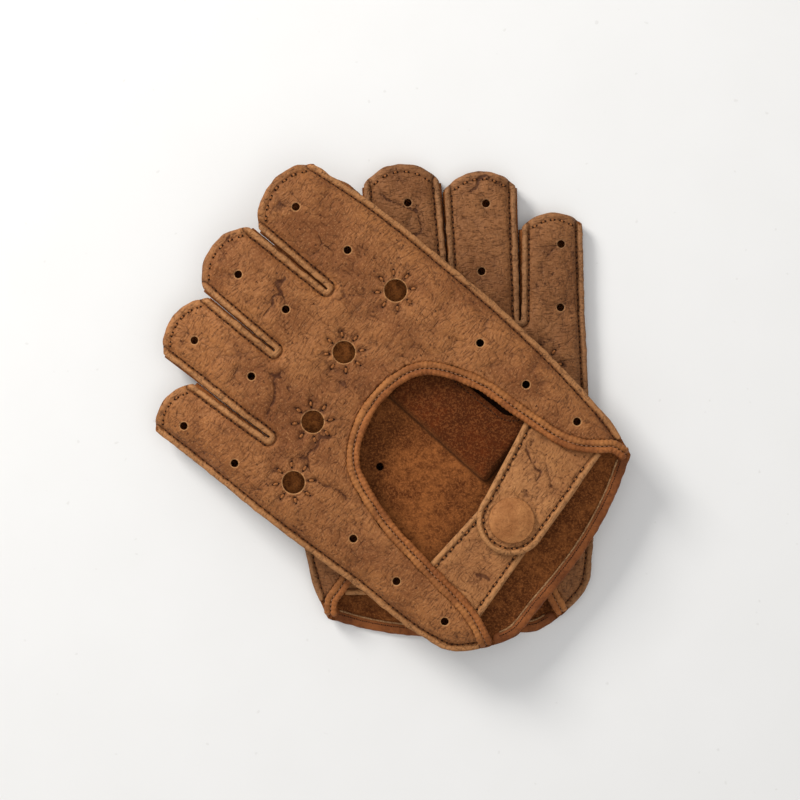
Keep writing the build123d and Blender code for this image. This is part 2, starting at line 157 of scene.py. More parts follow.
soft_lamp("window", (-0.80, 0.80, 0.75), (0, 0, 0), 0.50, 17.0, (1.0, 0.98, 0.95))
soft_lamp("ceiling", (0.1, -0.1, 1.3), (0, 0, 0), 1.4, 5.5, (1.0, 1.0, 1.0))

frame_width = 0.300             # how much of the table the view takes in
eye_height = 0.75
view_middle = (0.0032, 0.0024)
camera = bpy.data.cameras.new("camera")
camera.sensor_width = 36.0
camera.lens = camera.sensor_width * (eye_height - 0.018) / frame_width
camera_holder = bpy.data.objects.new("camera", camera)
scene.collection.objects.link(camera_holder)
camera_holder.location = (*view_middle, eye_height)
scene.camera = camera_holder


# ================================================================ how the two gloves lie
# Each glove is drawn flat in its own frame, in millimetres: back up, +Y to the fingers, +X to
# the thumb. The right one is the mirror image. The left one lies across it and bends down.
hinge_in_glove = (28.5, 25.25, 11.8)
joints = {joint["name"]: joint for joint in frame["joints"]}
left_hinge = joints["left_strap_fold"]
right_hinge = joints["right_strap_fold"]
turns = {
    "left": atan2(-left_hinge["axis"][0], left_hinge["axis"][1]),
    "right": atan2(right_hinge["axis"][0], -right_hinge["axis"][1]),
}
sides = {"left": 1.0, "right": -1.0}
drape_start = -47.75            # the left glove bends down beyond this line of the pair
drape_length = 40.0
drape_drop = 10.4


def turned(hand, x, y):
    angle = turns[hand]
    x = sides[hand] * x
    return x * cos(angle) - y * sin(angle), x * sin(angle) + y * cos(angle)


origins = {}
for hand, hinge in (("left", left_hinge), ("right", right_hinge)):
    dx, dy = turned(hand, hinge_in_glove[0], hinge_in_glove[1])
    at = [value * 1000 for value in hinge["pos_m"]]
    origins[hand] = (at[0] - dx, at[1] - dy, at[2] - hinge_in_glove[2])


def lay(hand, points):
    """Points of one glove, in its own frame and in millimetres, to their place in metres."""
    points = np.asarray(points, float)
    x, y = turned(hand, points[:, 0], points[:, 1])
    x = x + origins[hand][0]
    y = y + origins[hand][1]
    fall = np.zeros(len(points))
    if hand == "left":
        bend = 2 * atan(drape_drop / drape_length)
        radius = drape_length / (2 * sin(bend))
        run = np.clip(drape_start - x, 0, drape_length)
        rest = drape_length - run
        first = radius - np.sqrt(radius ** 2 - run ** 2)
        second = drape_drop - radius + np.sqrt(radius ** 2 - rest ** 2)
        fall = np.where(run < drape_length / 2, first, second)
    z = points[:, 2] + origins[hand][2] - fall
    return np.stack([x, y, z], axis=1) * 0.001


def make_piece(name, hand, points, faces, materials, face_slots=None):
    """A mesh from points in one glove's own frame. Its faces turn over for the mirrored right
    hand, and each point keeps its flat place in metres for the pattern of its leather."""
    if sides[hand] < 0:
        faces = [tuple(face)[::-1] for face in faces]
    mesh = bpy.data.meshes.new(name)
    mesh.from_pydata([tuple(point) for point in lay(hand, points)], [], faces)
    flat_place = mesh.attributes.new("flat", "FLOAT_VECTOR", "POINT")
    flat_place.data.foreach_set("vector", (np.asarray(points, float) * 0.001).astype(np.float32).ravel())
    for material in materials:
        mesh.materials.append(material)
    if face_slots is not None:
        mesh.polygons.foreach_set("material_index", np.asarray(face_slots, np.int32))
    mesh.polygons.foreach_set("use_smooth", [True] * len(mesh.polygons))
    mesh.update()
    piece = bpy.data.objects.new(name, mesh)
    scene.collection.objects.link(piece)
    return piece


# ================================================================ back panel
# One piece of soft pebbled hide over the back of the hand, cut into four half fingers, with
# knuckle holes, vents and an arched opening. The raw edges stand out at the seams.
hide = 1.0
back_top = 10.0
seam_level = 5.6                # top of the back leather where it meets the palm
fourchette_level = 8.4          # top of the back leather along the finger slits
thumb_half, pinky_half = 58.5, 60.0
cuff_thumb, cuff_pinky = (45.6, 0.7), (-45.0, -2.0)
wrist_low = -9.0
finger_tops = (169.0, 172.0, 167.4, 150.4)
tip_rounds = (7.2, 7.0, 5.9, 5.0)
slit_tops_x = (23.1, -7.3, -36.1)
slit_ends = ((22.6, 128.0), (-7.7, 128.6), (-34.2, 109.8))
slit_width, slit_end_width = 1.8, 0.8
arch_top, arch_thumb, arch_pinky = 90.5, 34.8, -36.6
knuckle_holes = ((38.1, 107.7), (8.2, 108.2), (-19.2, 101.0), (-41.2, 92.4))
knuckle_hole_radius = 4.2
vents = ((39.0, 156.0), (38.6, 131.0), (6.0, 157.0), (7.0, 135.0), (-23.6, 155.0), (-20.4, 129.4),
         (-51.2, 138.0), (-49.6, 114.0), (42.6, 71.0), (41.3, 48.0), (42.5, 24.6),
         (-43.6, 62.0), (-45.8, 39.6), (-46.2, 16.2))
vent_radius = 1.5
mesh_step = 0.95


def curve_through(knots, step=mesh_step):
    """Evenly spaced points on a smooth curve through the knots."""
    knots = np.asarray(knots, float)
    chords = np.linalg.norm(np.diff(knots, axis=0), axis=1)
    reach_at = np.concatenate([[0], np.cumsum(chords)])
    slopes = np.gradient(knots, reach_at, axis=0)
    dense = []
    for i, chord in enumerate(chords):
        t = np.linspace(0, 1, 24, endpoint=i == len(chords) - 1)[:, None]
        dense.append((2 * t ** 3 - 3 * t ** 2 + 1) * knots[i] + (t ** 3 - 2 * t ** 2 + t) * chord * slopes[i]
                     + (3 * t ** 2 - 2 * t ** 3) * knots[i + 1] + (t ** 3 - t ** 2) * chord * slopes[i + 1])
    return even_points(np.concatenate(dense), step)


def even_points(line, step=mesh_step):
    lengths = np.concatenate([[0], np.cumsum(np.linalg.norm(np.diff(line, axis=0), axis=1))])
    count = max(2, int(round(lengths[-1] / step)) + 1)
    marks = np.linspace(0, lengths[-1], count)
    return np.stack([np.interp(marks, lengths, line[:, k]) for k in range(line.shape[1])], axis=1)


def straight(a, b, step=mesh_step):
    return even_points(np.array([a, b], float), step)


def arc_through(a, top, b):
    """Circular arc from a to b over the given top point."""
    (ax, ay), (mx, my), (bx, by) = a, top, b
    d = 2 * (ax * (my - by) + mx * (by - ay) + bx * (ay - my))
    a2, m2, b2 = ax ** 2 + ay ** 2, mx ** 2 + my ** 2, bx ** 2 + by ** 2
    cx = (a2 * (my - by) + m2 * (by - ay) + b2 * (ay - my)) / d
    cy = (a2 * (bx - mx) + m2 * (ax - bx) + b2 * (mx - ax)) / d
    start, middle, end = (atan2(y - cy, x - cx) for x, y in (a, top, b))
    span = end - start
    lead = middle - start
    if span * lead < 0 or abs(lead) > abs(span):
        span += 2 * pi if lead > 0 else -2 * pi
    angles = start + span * np.linspace(0, 1, 60)
    radius = np.hypot(ax - cx, ay - cy)
    return even_points(np.stack([cx + radius * np.cos(angles), cy + radius * np.sin(angles)], axis=1))


def finger_corners(finger):
    y = finger_tops[finger] - tip_rounds[finger]
    outer = thumb_half - 2.7 if finger == 0 else slit_tops_x[finger - 1] - slit_width / 2
    inner = -pinky_half if finger == 3 else slit_tops_x[finger] + slit_width / 2
    return (outer, y), (inner, y)


def finger_tip(finger, inset=0.0):
    (outer, y), (inner, _) = finger_corners(finger)
    top = ((outer + inner) / 2, finger_tops[finger] - inset)
    return arc_through((outer - inset, y - inset), top, (inner + inset, y - inset))


def slit_sides(slit):
    """The two edges of a finger slit, each from the fingertip to the slit's end."""
    end_x, end_y = slit_ends[slit]
    right = straight(finger_corners(slit)[1], (end_x + slit_end_width / 2, end_y))
    left = straight(finger_corners(slit + 1)[0], (end_x - slit_end_width / 2, end_y))
    return right, left


thumb_knots = [cuff_thumb] + [(thumb_half * share, y) for share, y in (
    (0.855, 12.5), (0.906, 28.0), (0.98, 68.0), (1.0, 104.0), (0.997, 135.0))] + [finger_corners(0)[0]]
pinky_knots = [finger_corners(3)[1]] + [(-pinky_half * share, y) for share, y in (
    (0.983, 115.0), (0.975, 85.0), (0.95, 49.0), (0.933, 17.0), (0.9, 8.0))] + [cuff_pinky]
thumb_edge = curve_through(thumb_knots)
pinky_edge = curve_through(pinky_knots)
arch = curve_through([
    (cuff_thumb[0] + 1.4, 8.0), (arch_thumb + 2.8, 21.6), (arch_thumb, 41.5),
    (arch_thumb - 1.8, 63.0), (arch_thumb - 13.0, arch_top - 5.5), (2.0, arch_top),
    (arch_pinky + 13.8, arch_top - 8.5), (arch_pinky + 3.6, 60.0), (arch_pinky - 0.9, 33.0),
    (arch_pinky - 4.4, 10.0), (cuff_pinky[0] + 1.0, 2.4)])


def fingers_edge():
    """The outline over the four fingers and down their slits, index to pinky."""
    parts = []
    for finger in range(4):
        parts.append(finger_tip(finger))
        if finger < 3:
            right, left = slit_sides(finger)
            parts += [right, left[::-1]]
    return parts


def loop_of(parts):
    """One closed outline from lines that follow each other."""
    points = np.concatenate(parts)
    gaps = np.linalg.norm(points - np.roll(points, 1, axis=0), axis=1)
    return points[gaps > 0.25]


def ragged(outline, seed):
    """A hand-cut edge: the outline wanders in and out by a few tenths of a millimetre."""
    push = [[noise.noise((x / 4.0, y / 4.0, z)) for z in (seed, seed + 9)] for x, y in outline]
    return outline + np.array(push) * 0.45


def circle(centre, radius, count):
    angles = np.arange(count) * 2 * pi / count
    return np.stack([centre[0] + radius * np.cos(angles), centre[1] + radius * np.sin(angles)], axis=1)


def inside(points, loop):
    """Which points lie inside a closed outline."""
    x, y = points[:, 0], points[:, 1]
    found = np.zeros(len(points), bool)
    for (x0, y0), (x1, y1) in zip(loop, np.roll(loop, -1, axis=0)):
        crosses = (y0 > y) != (y1 > y)
        if crosses.any():
            found ^= crosses & (x < (x1 - x0) * (y - y0) / (y1 - y0 + 1e-12) + x0)
    return found


def nearest_of(points):
    """A quick way to look up the nearest of many flat points."""
    near = kdtree.KDTree(len(points))
    for i, (x, y) in enumerate(points):
        near.insert((x, y, 0), i)
    near.balance()
    return near


def distance_to(line, points):
    near = nearest_of(line)
    return np.array([near.find((x, y, 0))[2] for x, y in points])


def ripple(points, size, seed):
    """Smooth random height between about -1 and 1, for bumps of the given size."""
    return np.array([noise.noise((x / size + seed, y / size - seed, seed * 0.7)) for x, y in points])


def fold_lines(points, size, seed):
    """Natural folds of the hide, a broken net of lines: 1 on a fold, 0 two millimetres beside it."""
    chance = np.random.default_rng(seed)
    low, high = points.min(axis=0) - 2 * size, points.max(axis=0) + 2 * size
    xs, ys = np.meshgrid(np.arange(low[0], high[0], size), np.arange(low[1], high[1], size * 1.35))
    middles = np.stack([xs.ravel(), ys.ravel()], axis=1)
    middles = middles + chance.uniform(-0.5, 0.5, middles.shape) * size
    push = [ripple(points, size * 0.6, seed + k) * size * 0.3 + ripple(points, 3.4, seed + k + 2) * 0.9
            for k in (1, 2)]
    moved = points + np.stack(push, axis=1)
    near = nearest_of(middles)
    gap = np.array([(b[2] - a[2]) / 2 for a, b in (near.find_n((x, y, 0), 2) for x, y in moved)])
    there = np.clip(ripple(points, size * 1.4, seed + 5) * 2.4 + 0.45, 0, 1)
    return np.clip(1 - gap / 2.0, 0, 1) * there


def hide_folds(points, seed, size=17.0):
    return np.maximum(fold_lines(points, size, seed), 0.85 * fold_lines(points, size / 2, seed + 20))


def mound(distance, width):
    """A quarter circle's rise, from 0 at the edge to 1 at the given width."""
    share = np.clip(distance / width, 0, 1)
    return np.sqrt(1 - (1 - share) ** 2)


def seam_ridge(distance):
    """The stitched edge: a rounded ridge of raw edge with the thread's groove inside it."""
    return 0.75 * np.exp(-((distance - 1.1) / 0.75) ** 2) - 0.75 * np.exp(-((distance - 2.7) / 0.55) ** 2)


def cut_leather(outline, holes, step=mesh_step):
    """A flat mesh of one piece of leather: its points and triangles."""
    low, high = outline.min(axis=0), outline.max(axis=0)
    rows = np.arange(low[1], high[1], step * 0.866)
    grid = []
    for i, y in enumerate(rows):
        xs = np.arange(low[0] + (i % 2) * step / 2, high[0], step)
        grid.append(np.stack([xs, np.full(len(xs), y)], axis=1))
    grid = np.concatenate(grid)
    loops = [outline] + list(holes)
    keep = inside(grid, outline)
    for hole in holes:
        keep &= ~inside(grid, hole)
    grid = grid[keep]
    grid = grid[distance_to(np.concatenate(loops), grid) > step * 0.55]
    points = np.concatenate(loops + [grid])
    edges = []
    start = 0
    for loop in loops:
        edges += [(start + i, start + (i + 1) % len(loop)) for i in range(len(loop))]
        start += len(loop)
    found = delaunay_2d_cdt([Vector(point) for point in points], edges, [], 0, 1e-4)
    points = np.array([tuple(point) for point in found[0]])
    triangles = np.array([tuple(face) for face in found[2]])
    middles = points[triangles].mean(axis=1)
    keep = inside(middles, outline)
    for hole in holes:
        keep &= ~inside(middles, hole)
    triangles = triangles[keep]
    a, b, c = (points[triangles[:, k]] for k in range(3))
    area = (b[:, 0] - a[:, 0]) * (c[:, 1] - a[:, 1]) - (c[:, 0] - a[:, 0]) * (b[:, 1] - a[:, 1])
    triangles[area < 0] = triangles[area < 0][:, ::-1]
    triangles = triangles[np.abs(area) > 1e-6]
    used = np.unique(triangles)
    lookup = -np.ones(len(points), int)
    lookup[used] = np.arange(len(used))
    return points[used], lookup[triangles]


def leather_piece(name, hand, flat, triangles, top, thickness, materials, marks=()):
    """Give cut leather its shape and thickness, and lay it where its glove lies."""
    count = len(flat)
    points = np.concatenate([np.column_stack([flat, top]), np.column_stack([flat, top - thickness])])
    directed = dict.fromkeys((t[i], t[(i + 1) % 3]) for t in triangles for i in range(3))
    rim = [edge for edge in directed if (edge[1], edge[0]) not in directed]
    faces = [tuple(t) for t in triangles] + [tuple(t[::-1] + count) for t in triangles]
    faces += [(b, a, a + count, b + count) for a, b in rim]
    slots = [0] * len(triangles) + [1] * len(triangles) + [2] * len(rim)
    piece = make_piece(name, hand, points, faces, materials, slots)
    for key, values in dict(marks).items():
        layer = piece.data.attributes.new(key, "FLOAT", "POINT")
        layer.data.foreach_set("value", np.concatenate([values, values]).astype(np.float32))
    return piece


def nearness(distance):
    """How near a point is to an edge: 1 on it, falling evenly to 0 six millimetres away."""
    return np.clip(1 - distance / 6.0, 0, 1)


def attribute(tree, name, output="Fac"):
    return put(tree, "Attribute", attribute_name=name).outputs[output]


def bent(tree, place, scale, amount):
    """The same place pushed about at random, to make straight patterns natural."""
    push = put(tree, "TexNoise", {"Vector": place, "Scale": scale, "Detail": 2.0}).outputs["Color"]
    push = put(tree, "VectorMath", {0: push, 1: (0.5, 0.5, 0.5)}, operation="SUBTRACT").outputs[0]
    push = put(tree, "VectorMath", {0: push, 3: amount}, operation="SCALE").outputs[0]
    return put(tree, "VectorMath", {0: place, 1: push}, operation="ADD").outputs[0]


def stretched(tree, place, turn, scale):
    return put(tree, "Mapping", {"Vector": place, "Rotation": (0, 0, turn), "Scale": scale}).outputs[0]


def band(tree, value, middle, width):
    """1 where a value meets the middle, falling to 0 at the given width."""
    gap = sums(tree, "ABSOLUTE", sums(tree, "SUBTRACT", value, middle), 0.0)
    return reach(tree, gap, 0.0, width, 1.0, 0.0)


def weighted(tree, parts):
    total = None
    for part, share in parts:
        part = scaled(tree, part, share)
        total = part if total is None else sums(tree, "ADD", total, part)
    return total


def cell_edges(tree, place, scale):
    """How far each place is from the edges in a net of uneven cells."""
    inputs = {"Vector": place, "Scale": scale}
    return put(tree, "TexVoronoi", inputs, feature="DISTANCE_TO_EDGE").outputs["Distance"]


def hide_material(name, light, dark, fold, worn):
    """Soft pigskin: warm patches, broken folds, fine wrinkles and pores in groups of three.
    Beside a seam it has the pressed groove, and its cut and rubbed edges are pale."""
    material, tree, shader, _ = finish_named(name)
    place = attribute(tree, "flat", "Vector")
    patches = grain_noise(tree, place, 42.0, 5.0, 0.62)
    crack = attribute(tree, "fold")
    broken = scaled(tree, grain_noise(tree, place, 420.0, 2.0), 0.24)
    crack_line = reach(tree, sums(tree, "ADD", crack, broken), 0.84, 1.04)
    loose = bent(tree, bent(tree, place, 60.0, 0.008), 300.0, 0.0019)
    crackle = cell_edges(tree, stretched(tree, loose, 0.9, (1.0, 0.5, 1.0)), 290.0)
    where = reach(tree, grain_noise(tree, place, 200.0, 2.0), 0.40, 0.62)
    crackle_line = scaled(tree, reach(tree, crackle, 0.0, 0.06, 1.0, 0.0), where)
    crackle_side = scaled(tree, reach(tree, crackle, 0.0, 0.36, 1.0, 0.0), where)
    pebble_at = stretched(tree, bent(tree, place, 300.0, 0.0022), 0.75, (1.0, 0.5, 1.0))
    pebble = reach(tree, cell_edges(tree, pebble_at, 640.0), 0.0, 0.30, 1.0, 0.0)
    streak_at = stretched(tree, bent(tree, place, 90.0, 0.006), 0.75, (420.0, 1700.0, 800.0))
    streaks = grain_noise(tree, streak_at, 1.0, 3.0, 0.6)
    wrinkles = reach(tree, streaks, 0.30, 0.46, 1.0, 0.0)
    fine = grain_noise(tree, place, 1500.0, 2.0, 0.6)
    pores = None
    for offset in ((0, 0, 0), (0.00042, 0.0001, 0), (0.00015, 0.00045, 0)):
        moved = put(tree, "VectorMath", {0: place, 1: offset}, operation="ADD").outputs[0]
        cell = put(tree, "TexVoronoi", {"Vector": moved, "Scale": 330.0, "Randomness": 0.9})
        dot = reach(tree, cell.outputs["Distance"], 0.04, 0.10, 1.0, 0.0)
        pores = dot if pores is None else sums(tree, "MAXIMUM", pores, dot)
    wobble = scaled(tree, sums(tree, "SUBTRACT", grain_noise(tree, place, 210.0, 3.0), 0.5), 0.16)
    seam = sums(tree, "ADD", attribute(tree, "seam"), wobble)
    hem = sums(tree, "ADD", attribute(tree, "hem"), wobble)
    hem_groove = scaled(tree, band(tree, hem, 0.50, 0.05), 0.35)
    groove = sums(tree, "MAXIMUM", band(tree, seam, 0.57, 0.075), hem_groove)
    hem_ridge = scaled(tree, reach(tree, hem, 0.56, 0.66), 0.45)
    ridge = sums(tree, "MAXIMUM", reach(tree, seam, 0.62, 0.74), hem_ridge)
    hole = reach(tree, attribute(tree, "hole"), 0.90, 0.97)
    puckered = attribute(tree, "pucker")
    colour = blend_colour(tree, reach(tree, patches, 0.36, 0.62), dark, light)
    colour = blend_colour(tree, reach(tree, streaks, 0.35, 0.7, 0.6, 0.0), colour, dark)
    colour = blend_colour(tree, reach(tree, fine, 0.5, 0.75, 0.0, 0.5), colour, worn)
    colour = blend_colour(tree, scaled(tree, ridge, 0.55), colour, worn)
    # Over the puckers round the knuckle holes, this darkening is painted shade in their dents.
    dark_share = weighted(tree, (
        (crack_line, 0.62), (crack, 0.20), (crackle_line, 0.32), (crackle_side, 0.08),
        (pebble, 0.12), (wrinkles, 0.36), (pores, 0.75), (puckered, 0.8)))
    colour = blend_colour(tree, sums(tree, "MINIMUM", dark_share, 0.92), colour, fold)
    colour = blend_colour(tree, scaled(tree, groove, 0.62), colour, fold)
    colour = blend_colour(tree, scaled(tree, hole, 0.7), colour, worn)
    height = weighted(tree, (
        (crack_line, -0.30), (crackle_line, -0.14), (crackle_side, -0.17), (pebble, -0.09),
        (streaks, 0.40), (wrinkles, -0.16), (pores, -0.16), (fine, 0.10), (patches, 0.9),
        (groove, -0.5), (ridge, 0.35), (hole, 0.15), (puckered, -0.4)))
    paint(tree, shader, colour, reach(tree, patches, 0.3, 0.7, 0.70, 0.56), height, 0.001, 0.9)
    shader.inputs["Specular IOR Level"].default_value = 0.18
    return material


worn_hide = (0.47, 0.225, 0.085, 1)
hide_tones = {
    "left": ((0.36, 0.139, 0.041, 1), (0.195, 0.064, 0.017, 1), (0.055, 0.014, 0.003, 1), worn_hide),
    "right": ((0.285, 0.116, 0.039, 1), (0.175, 0.064, 0.019, 1), (0.050, 0.014, 0.004, 1),
              (0.34, 0.165, 0.07, 1)),
}
hides = {hand: hide_material(hand + "_hide", *tones) for hand, tones in hide_tones.items()}


def suede_material(name, nap, plain, dark, bright):
    """The flesh side: a short brushed nap, redder where it is rubbed up."""
    material, tree, shader, place = finish_named(name)
    hair = grain_noise(tree, bent(tree, place, 700.0, 0.0012), 1250.0, 3.0, 0.75)
    clumps = grain_noise(tree, bent(tree, place, 200.0, 0.003), 380.0, 6.0, 0.75)
    clouds = grain_noise(tree, bent(tree, place, 70.0, 0.008), 55.0, 5.0, 0.6)
    raised = attribute(tree, "raised")
    colour = blend_colour(tree, raised, plain, nap)
    colour = blend_colour(tree, reach(tree, clouds, 0.40, 0.60, 0.75, 0.0), colour, dark)
    # Painted light: a bright orange pool on the palm suede under each knuckle hole, for the light that falls
    # in through the hole.
    colour = blend_colour(tree, attribute(tree, "painted_hole_light"), colour, (0.68, 0.225, 0.055, 1))
    colour = blend_colour(tree, reach(tree, clumps, 0.38, 0.60, 0.75, 0.0), colour, dark)
    lit_tips = scaled(tree, reach(tree, hair, 0.44, 0.66), reach(tree, raised, 0.0, 1.0, 0.6, 0.4))
    colour = blend_colour(tree, lit_tips, colour, bright)
    # Painted shadow: a near-black line along the foot of the raised mound, where its step would cast shade.
    step = scaled(tree, band(tree, raised, 0.30, 0.34), 0.8)
    colour = blend_colour(tree, step, colour, (0.018, 0.005, 0.002, 1))
    nap_height = scaled(tree, hair, reach(tree, raised, 0.0, 1.0, 0.5, 1.1))
    height = weighted(tree, ((clumps, 1.0), (nap_height, 1.4), (clouds, 1.6)))
    paint(tree, shader, colour, reach(tree, clumps, 0.0, 1.0, 0.98, 0.88), height, 0.0007, 0.9)
    shader.inputs["Sheen Weight"].default_value = 0.25
    shader.inputs["Sheen Roughness"].default_value = 0.6
    shader.inputs["Sheen Tint"].default_value = (0.55, 0.22, 0.08, 1)
    shader.inputs["Specular IOR Level"].default_value = 0.05
    return material


def raw_edge_material(name, tone, dark):
    """Cut edge of the hide, dry and fibrous."""
    material, tree, shader, place = finish_named(name)
    fibres = grain_noise(tree, place, 1500.0, 3.0, 0.7)
    colour = blend_colour(tree, reach(tree, fibres, 0.3, 0.7), dark, tone)
    paint(tree, shader, colour, reach(tree, fibres, 0.0, 1.0, 0.95, 0.8), fibres, 0.0003, 0.7)
    shader.inputs["Specular IOR Level"].default_value = 0.15
    return material


suede = suede_material("suede", (0.105, 0.020, 0.004, 1), (0.255, 0.083, 0.022, 1), (0.060, 0.014, 0.004, 1),
                       (0.40, 0.135, 0.038, 1))
# The thumb stall's inside: suede painted near black, a painted shade for the deep hollow of the tube.
painted_shade_lining = suede_material("painted_shade_lining", (0.03, 0.01, 0.004, 1), (0.022, 0.008, 0.004, 1),
                             (0.008, 0.003, 0.002, 1), (0.05, 0.018, 0.007, 1))
raw_edge = raw_edge_material("raw_edge", (0.44, 0.24, 0.11, 1), (0.15, 0.065, 0.025, 1))

side_lines = np.concatenate([thumb_edge, pinky_edge])
slit_lines = np.concatenate([side for slit in range(3) for side in slit_sides(slit)])
tip_lines = np.concatenate([finger_tip(finger) for finger in range(4)])
hole_loops = [circle(centre, knuckle_hole_radius, 30) for centre in knuckle_holes]
hole_loops += [circle(centre, vent_radius, 14) for centre in vents]
start_at = np.argmin(np.linalg.norm(thumb_edge - arch[0], axis=1))
end_at = np.argmin(np.linalg.norm(pinky_edge - arch[-1], axis=1))
back_outline = loop_of([thumb_edge[start_at:]] + fingers_edge() + [pinky_edge[:end_at + 1], arch[::-1]])
back_flat, back_triangles = cut_leather(ragged(back_outline, 2.0), hole_loops)


def back_level(points):
    """Height of the grain side of the back over one glove's own base."""
    to_side = distance_to(side_lines, points)
    to_slit = distance_to(slit_lines, points)
    to_tip = distance_to(tip_lines, points)
    level = np.full(len(points), back_top)
    level -= (back_top - seam_level) * (1 - mound(to_side - 2.4, 9.0))
    level -= (back_top - fourchette_level) * (1 - mound(to_slit - 2.4, 6.0))
    level -= 1.9 * (1 - mound(to_tip, 8.0))
    level += seam_ridge(np.minimum(to_side, to_slit))
    level += 0.35 * np.exp(-((to_tip - 1.2) / 1.1) ** 2) - 0.3 * np.exp(-((to_tip - 3.0) / 0.5) ** 2)
    return level, to_side, to_slit, to_tip


def near_knuckles(points):
    """Puckers that the stitches pull round each knuckle hole."""
    pucker = np.zeros(len(points))
    for centre in knuckle_holes:
        gap = points - np.array(centre)
        radius = np.hypot(gap[:, 0], gap[:, 1])
        turn = np.arctan2(gap[:, 1], gap[:, 0])
        ring = np.exp(-((radius - 6.6) / 2.1) ** 2)
        pucker += ring * (0.5 + 0.5 * np.cos(8 * turn)) ** 4
    return pucker


back_heights, to_side, to_slit, to_tip = back_level(back_flat)
pucker = near_knuckles(back_flat)
to_seam = np.minimum(to_side, to_slit)
calm = np.clip(to_seam / 6.0, 0, 1) * np.clip(distance_to(arch, back_flat) / 8.0, 0, 1)
surfaces = {}
for hand, seed in (("left", 3.1), ("right", 11.7)):
    broad = ripple(back_flat, 24.0, seed) * 1.2 + ripple(back_flat, 11.0, seed + 4) * 0.8
    wavy = ripple(back_flat, 7.0, seed + 8) * 0.35 * (1 - calm) * (to_seam > 0.6)
    folds = hide_folds(back_flat, int(seed)) * np.clip((to_seam - 3.0) / 3.0, 0, 1)
    heights = back_heights + calm * broad + wavy - 0.7 * pucker - 0.55 * folds
    marks = {"fold": folds, "seam": nearness(to_seam), "hem": nearness(to_tip), "pucker": pucker,
             "hole": nearness(distance_to(np.concatenate(hole_loops), back_flat))}
    surfaces[hand, "back"] = (back_flat, heights)
    piece = leather_piece(hand + "_back_leather", hand, back_flat, back_triangles, heights, hide,
                          [hides[hand], suede, raw_edge], marks)
    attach(piece, hand + "_glove")
    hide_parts(hand + "_back_panel")


# ================================================================ palm panel
# The same hide for the palm and the front of the fingers, suede side up inside the glove. The
# thumb stall, folded under it, lifts it in a flat mound beside the thumb hole.
palm_top = 1.0
thumb_hole_x, thumb_hole_y = (27.5, 46.0), (42.0, 80.0)
mound_height = 4.2
palm_vent = (-16.8, 71.0)
wrist_edge = curve_through([cuff_thumb] + [(x, wrist_low * share) for x, share in (
    (34.0, 0.4), (11.0, 0.93), (-20.0, 1.0), (-36.0, 0.9))] + [cuff_pinky])


def rounded_loop(x_span, y_span, radius):
    """A rectangle with round corners, anticlockwise."""
    points = []
    for x, y, start in ((x_span[1], y_span[1], 0), (x_span[0], y_span[1], 90),
                        (x_span[0], y_span[0], 180), (x_span[1], y_span[0], 270)):
        inner_x = x - radius if start in (0, 270) else x + radius
        inner_y = y - radius if start in (0, 90) else y + radius
        for angle in np.radians(np.linspace(start, start + 90, 8)):
            points.append((inner_x + radius * cos(angle), inner_y + radius * sin(angle)))
    points.append(points[0])
    return even_points(np.array(points))[:-1]


def ease(values, low, high):
    share = np.clip((values - low) / (high - low), 0, 1)
    return share * share * (3 - 2 * share)


def thumb_mound(points):
    """How much of the mound's height each point of the palm has."""
    x, y = points[:, 0], points[:, 1]
    step_x = 3.6 + 2.4 * (y - 38) / 46
    across = ease(x - step_x, -1.2, 1.6) * (1 - ease(x, 49.6, 52.6))
    return across * ease(y, 35.0, 38.6) * (1 - ease(y, 83.8, 87.4))


palm_outline = loop_of([thumb_edge] + fingers_edge() + [pinky_edge, wrist_edge[::-1]])
thumb_hole = rounded_loop(thumb_hole_x, thumb_hole_y, 7.0)
palm_vent_loop = circle(palm_vent, vent_radius, 14)
palm_flat, palm_triangles = cut_leather(ragged(palm_outline, 30.0), [palm_vent_loop, thumb_hole])


def palm_level(points):
    """Height of the suede side of the palm over one glove's own base."""
    beside = distance_to(side_lines, points)
    between = distance_to(slit_lines, points)
    at_tip = distance_to(tip_lines, points)
    lift = (seam_level - hide - 0.1 - palm_top) * (1 - mound(beside - 2.4, 8.0))
    lift = lift + seam_ridge(beside) * (beside < 5)
    lift = np.maximum(lift, 1.6 * (1 - mound(between - 2.4, 6.0)))
    lift = np.maximum(lift, 0.8 * (1 - mound(at_tip, 8.0)))
    return palm_top + np.maximum(lift, mound_height * thumb_mound(points))


palm_heights = palm_level(palm_flat)
on_mound = thumb_mound(palm_flat) * (palm_flat[:, 0] < 40)
palm_to_seam = np.minimum(distance_to(side_lines, palm_flat), distance_to(slit_lines, palm_flat))
palm_to_tip = distance_to(tip_lines, palm_flat)
# Painted light: how much of that bright pool each point of the palm gets, strongest right under a knuckle
# hole.
painted_hole_light = np.exp(-(distance_to(np.array(knuckle_holes), palm_flat) / 5.5) ** 4) * 0.9
for hand, seed in (("left", 21.3), ("right", 27.9)):
    waves = np.abs(ripple(palm_flat * (0.5, 1.0), 16.0, seed)) * 1.1
    waves = waves + np.abs(ripple(palm_flat, 8.0, seed + 3)) * 0.5
    calm = np.clip(distance_to(np.concatenate([side_lines, slit_lines, wrist_edge]), palm_flat) / 7.0, 0, 1)
    folds = hide_folds(palm_flat, int(seed)) * calm
    heights = palm_heights + waves * calm
    surfaces[hand, "palm"] = (palm_flat, heights)
    marks = {"fold": folds, "raised": on_mound, "painted_hole_light": painted_hole_light, "seam": nearness(palm_to_seam),
             "hem": nearness(palm_to_tip), "hole": nearness(distance_to(palm_vent_loop, palm_flat))}
    piece = leather_piece(hand + "_palm_leather", hand, palm_flat, palm_triangles, heights, hide,
                          [suede, hides[hand], raw_edge], marks)
    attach(piece, hand + "_glove")
    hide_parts(hand + "_palm_panel")


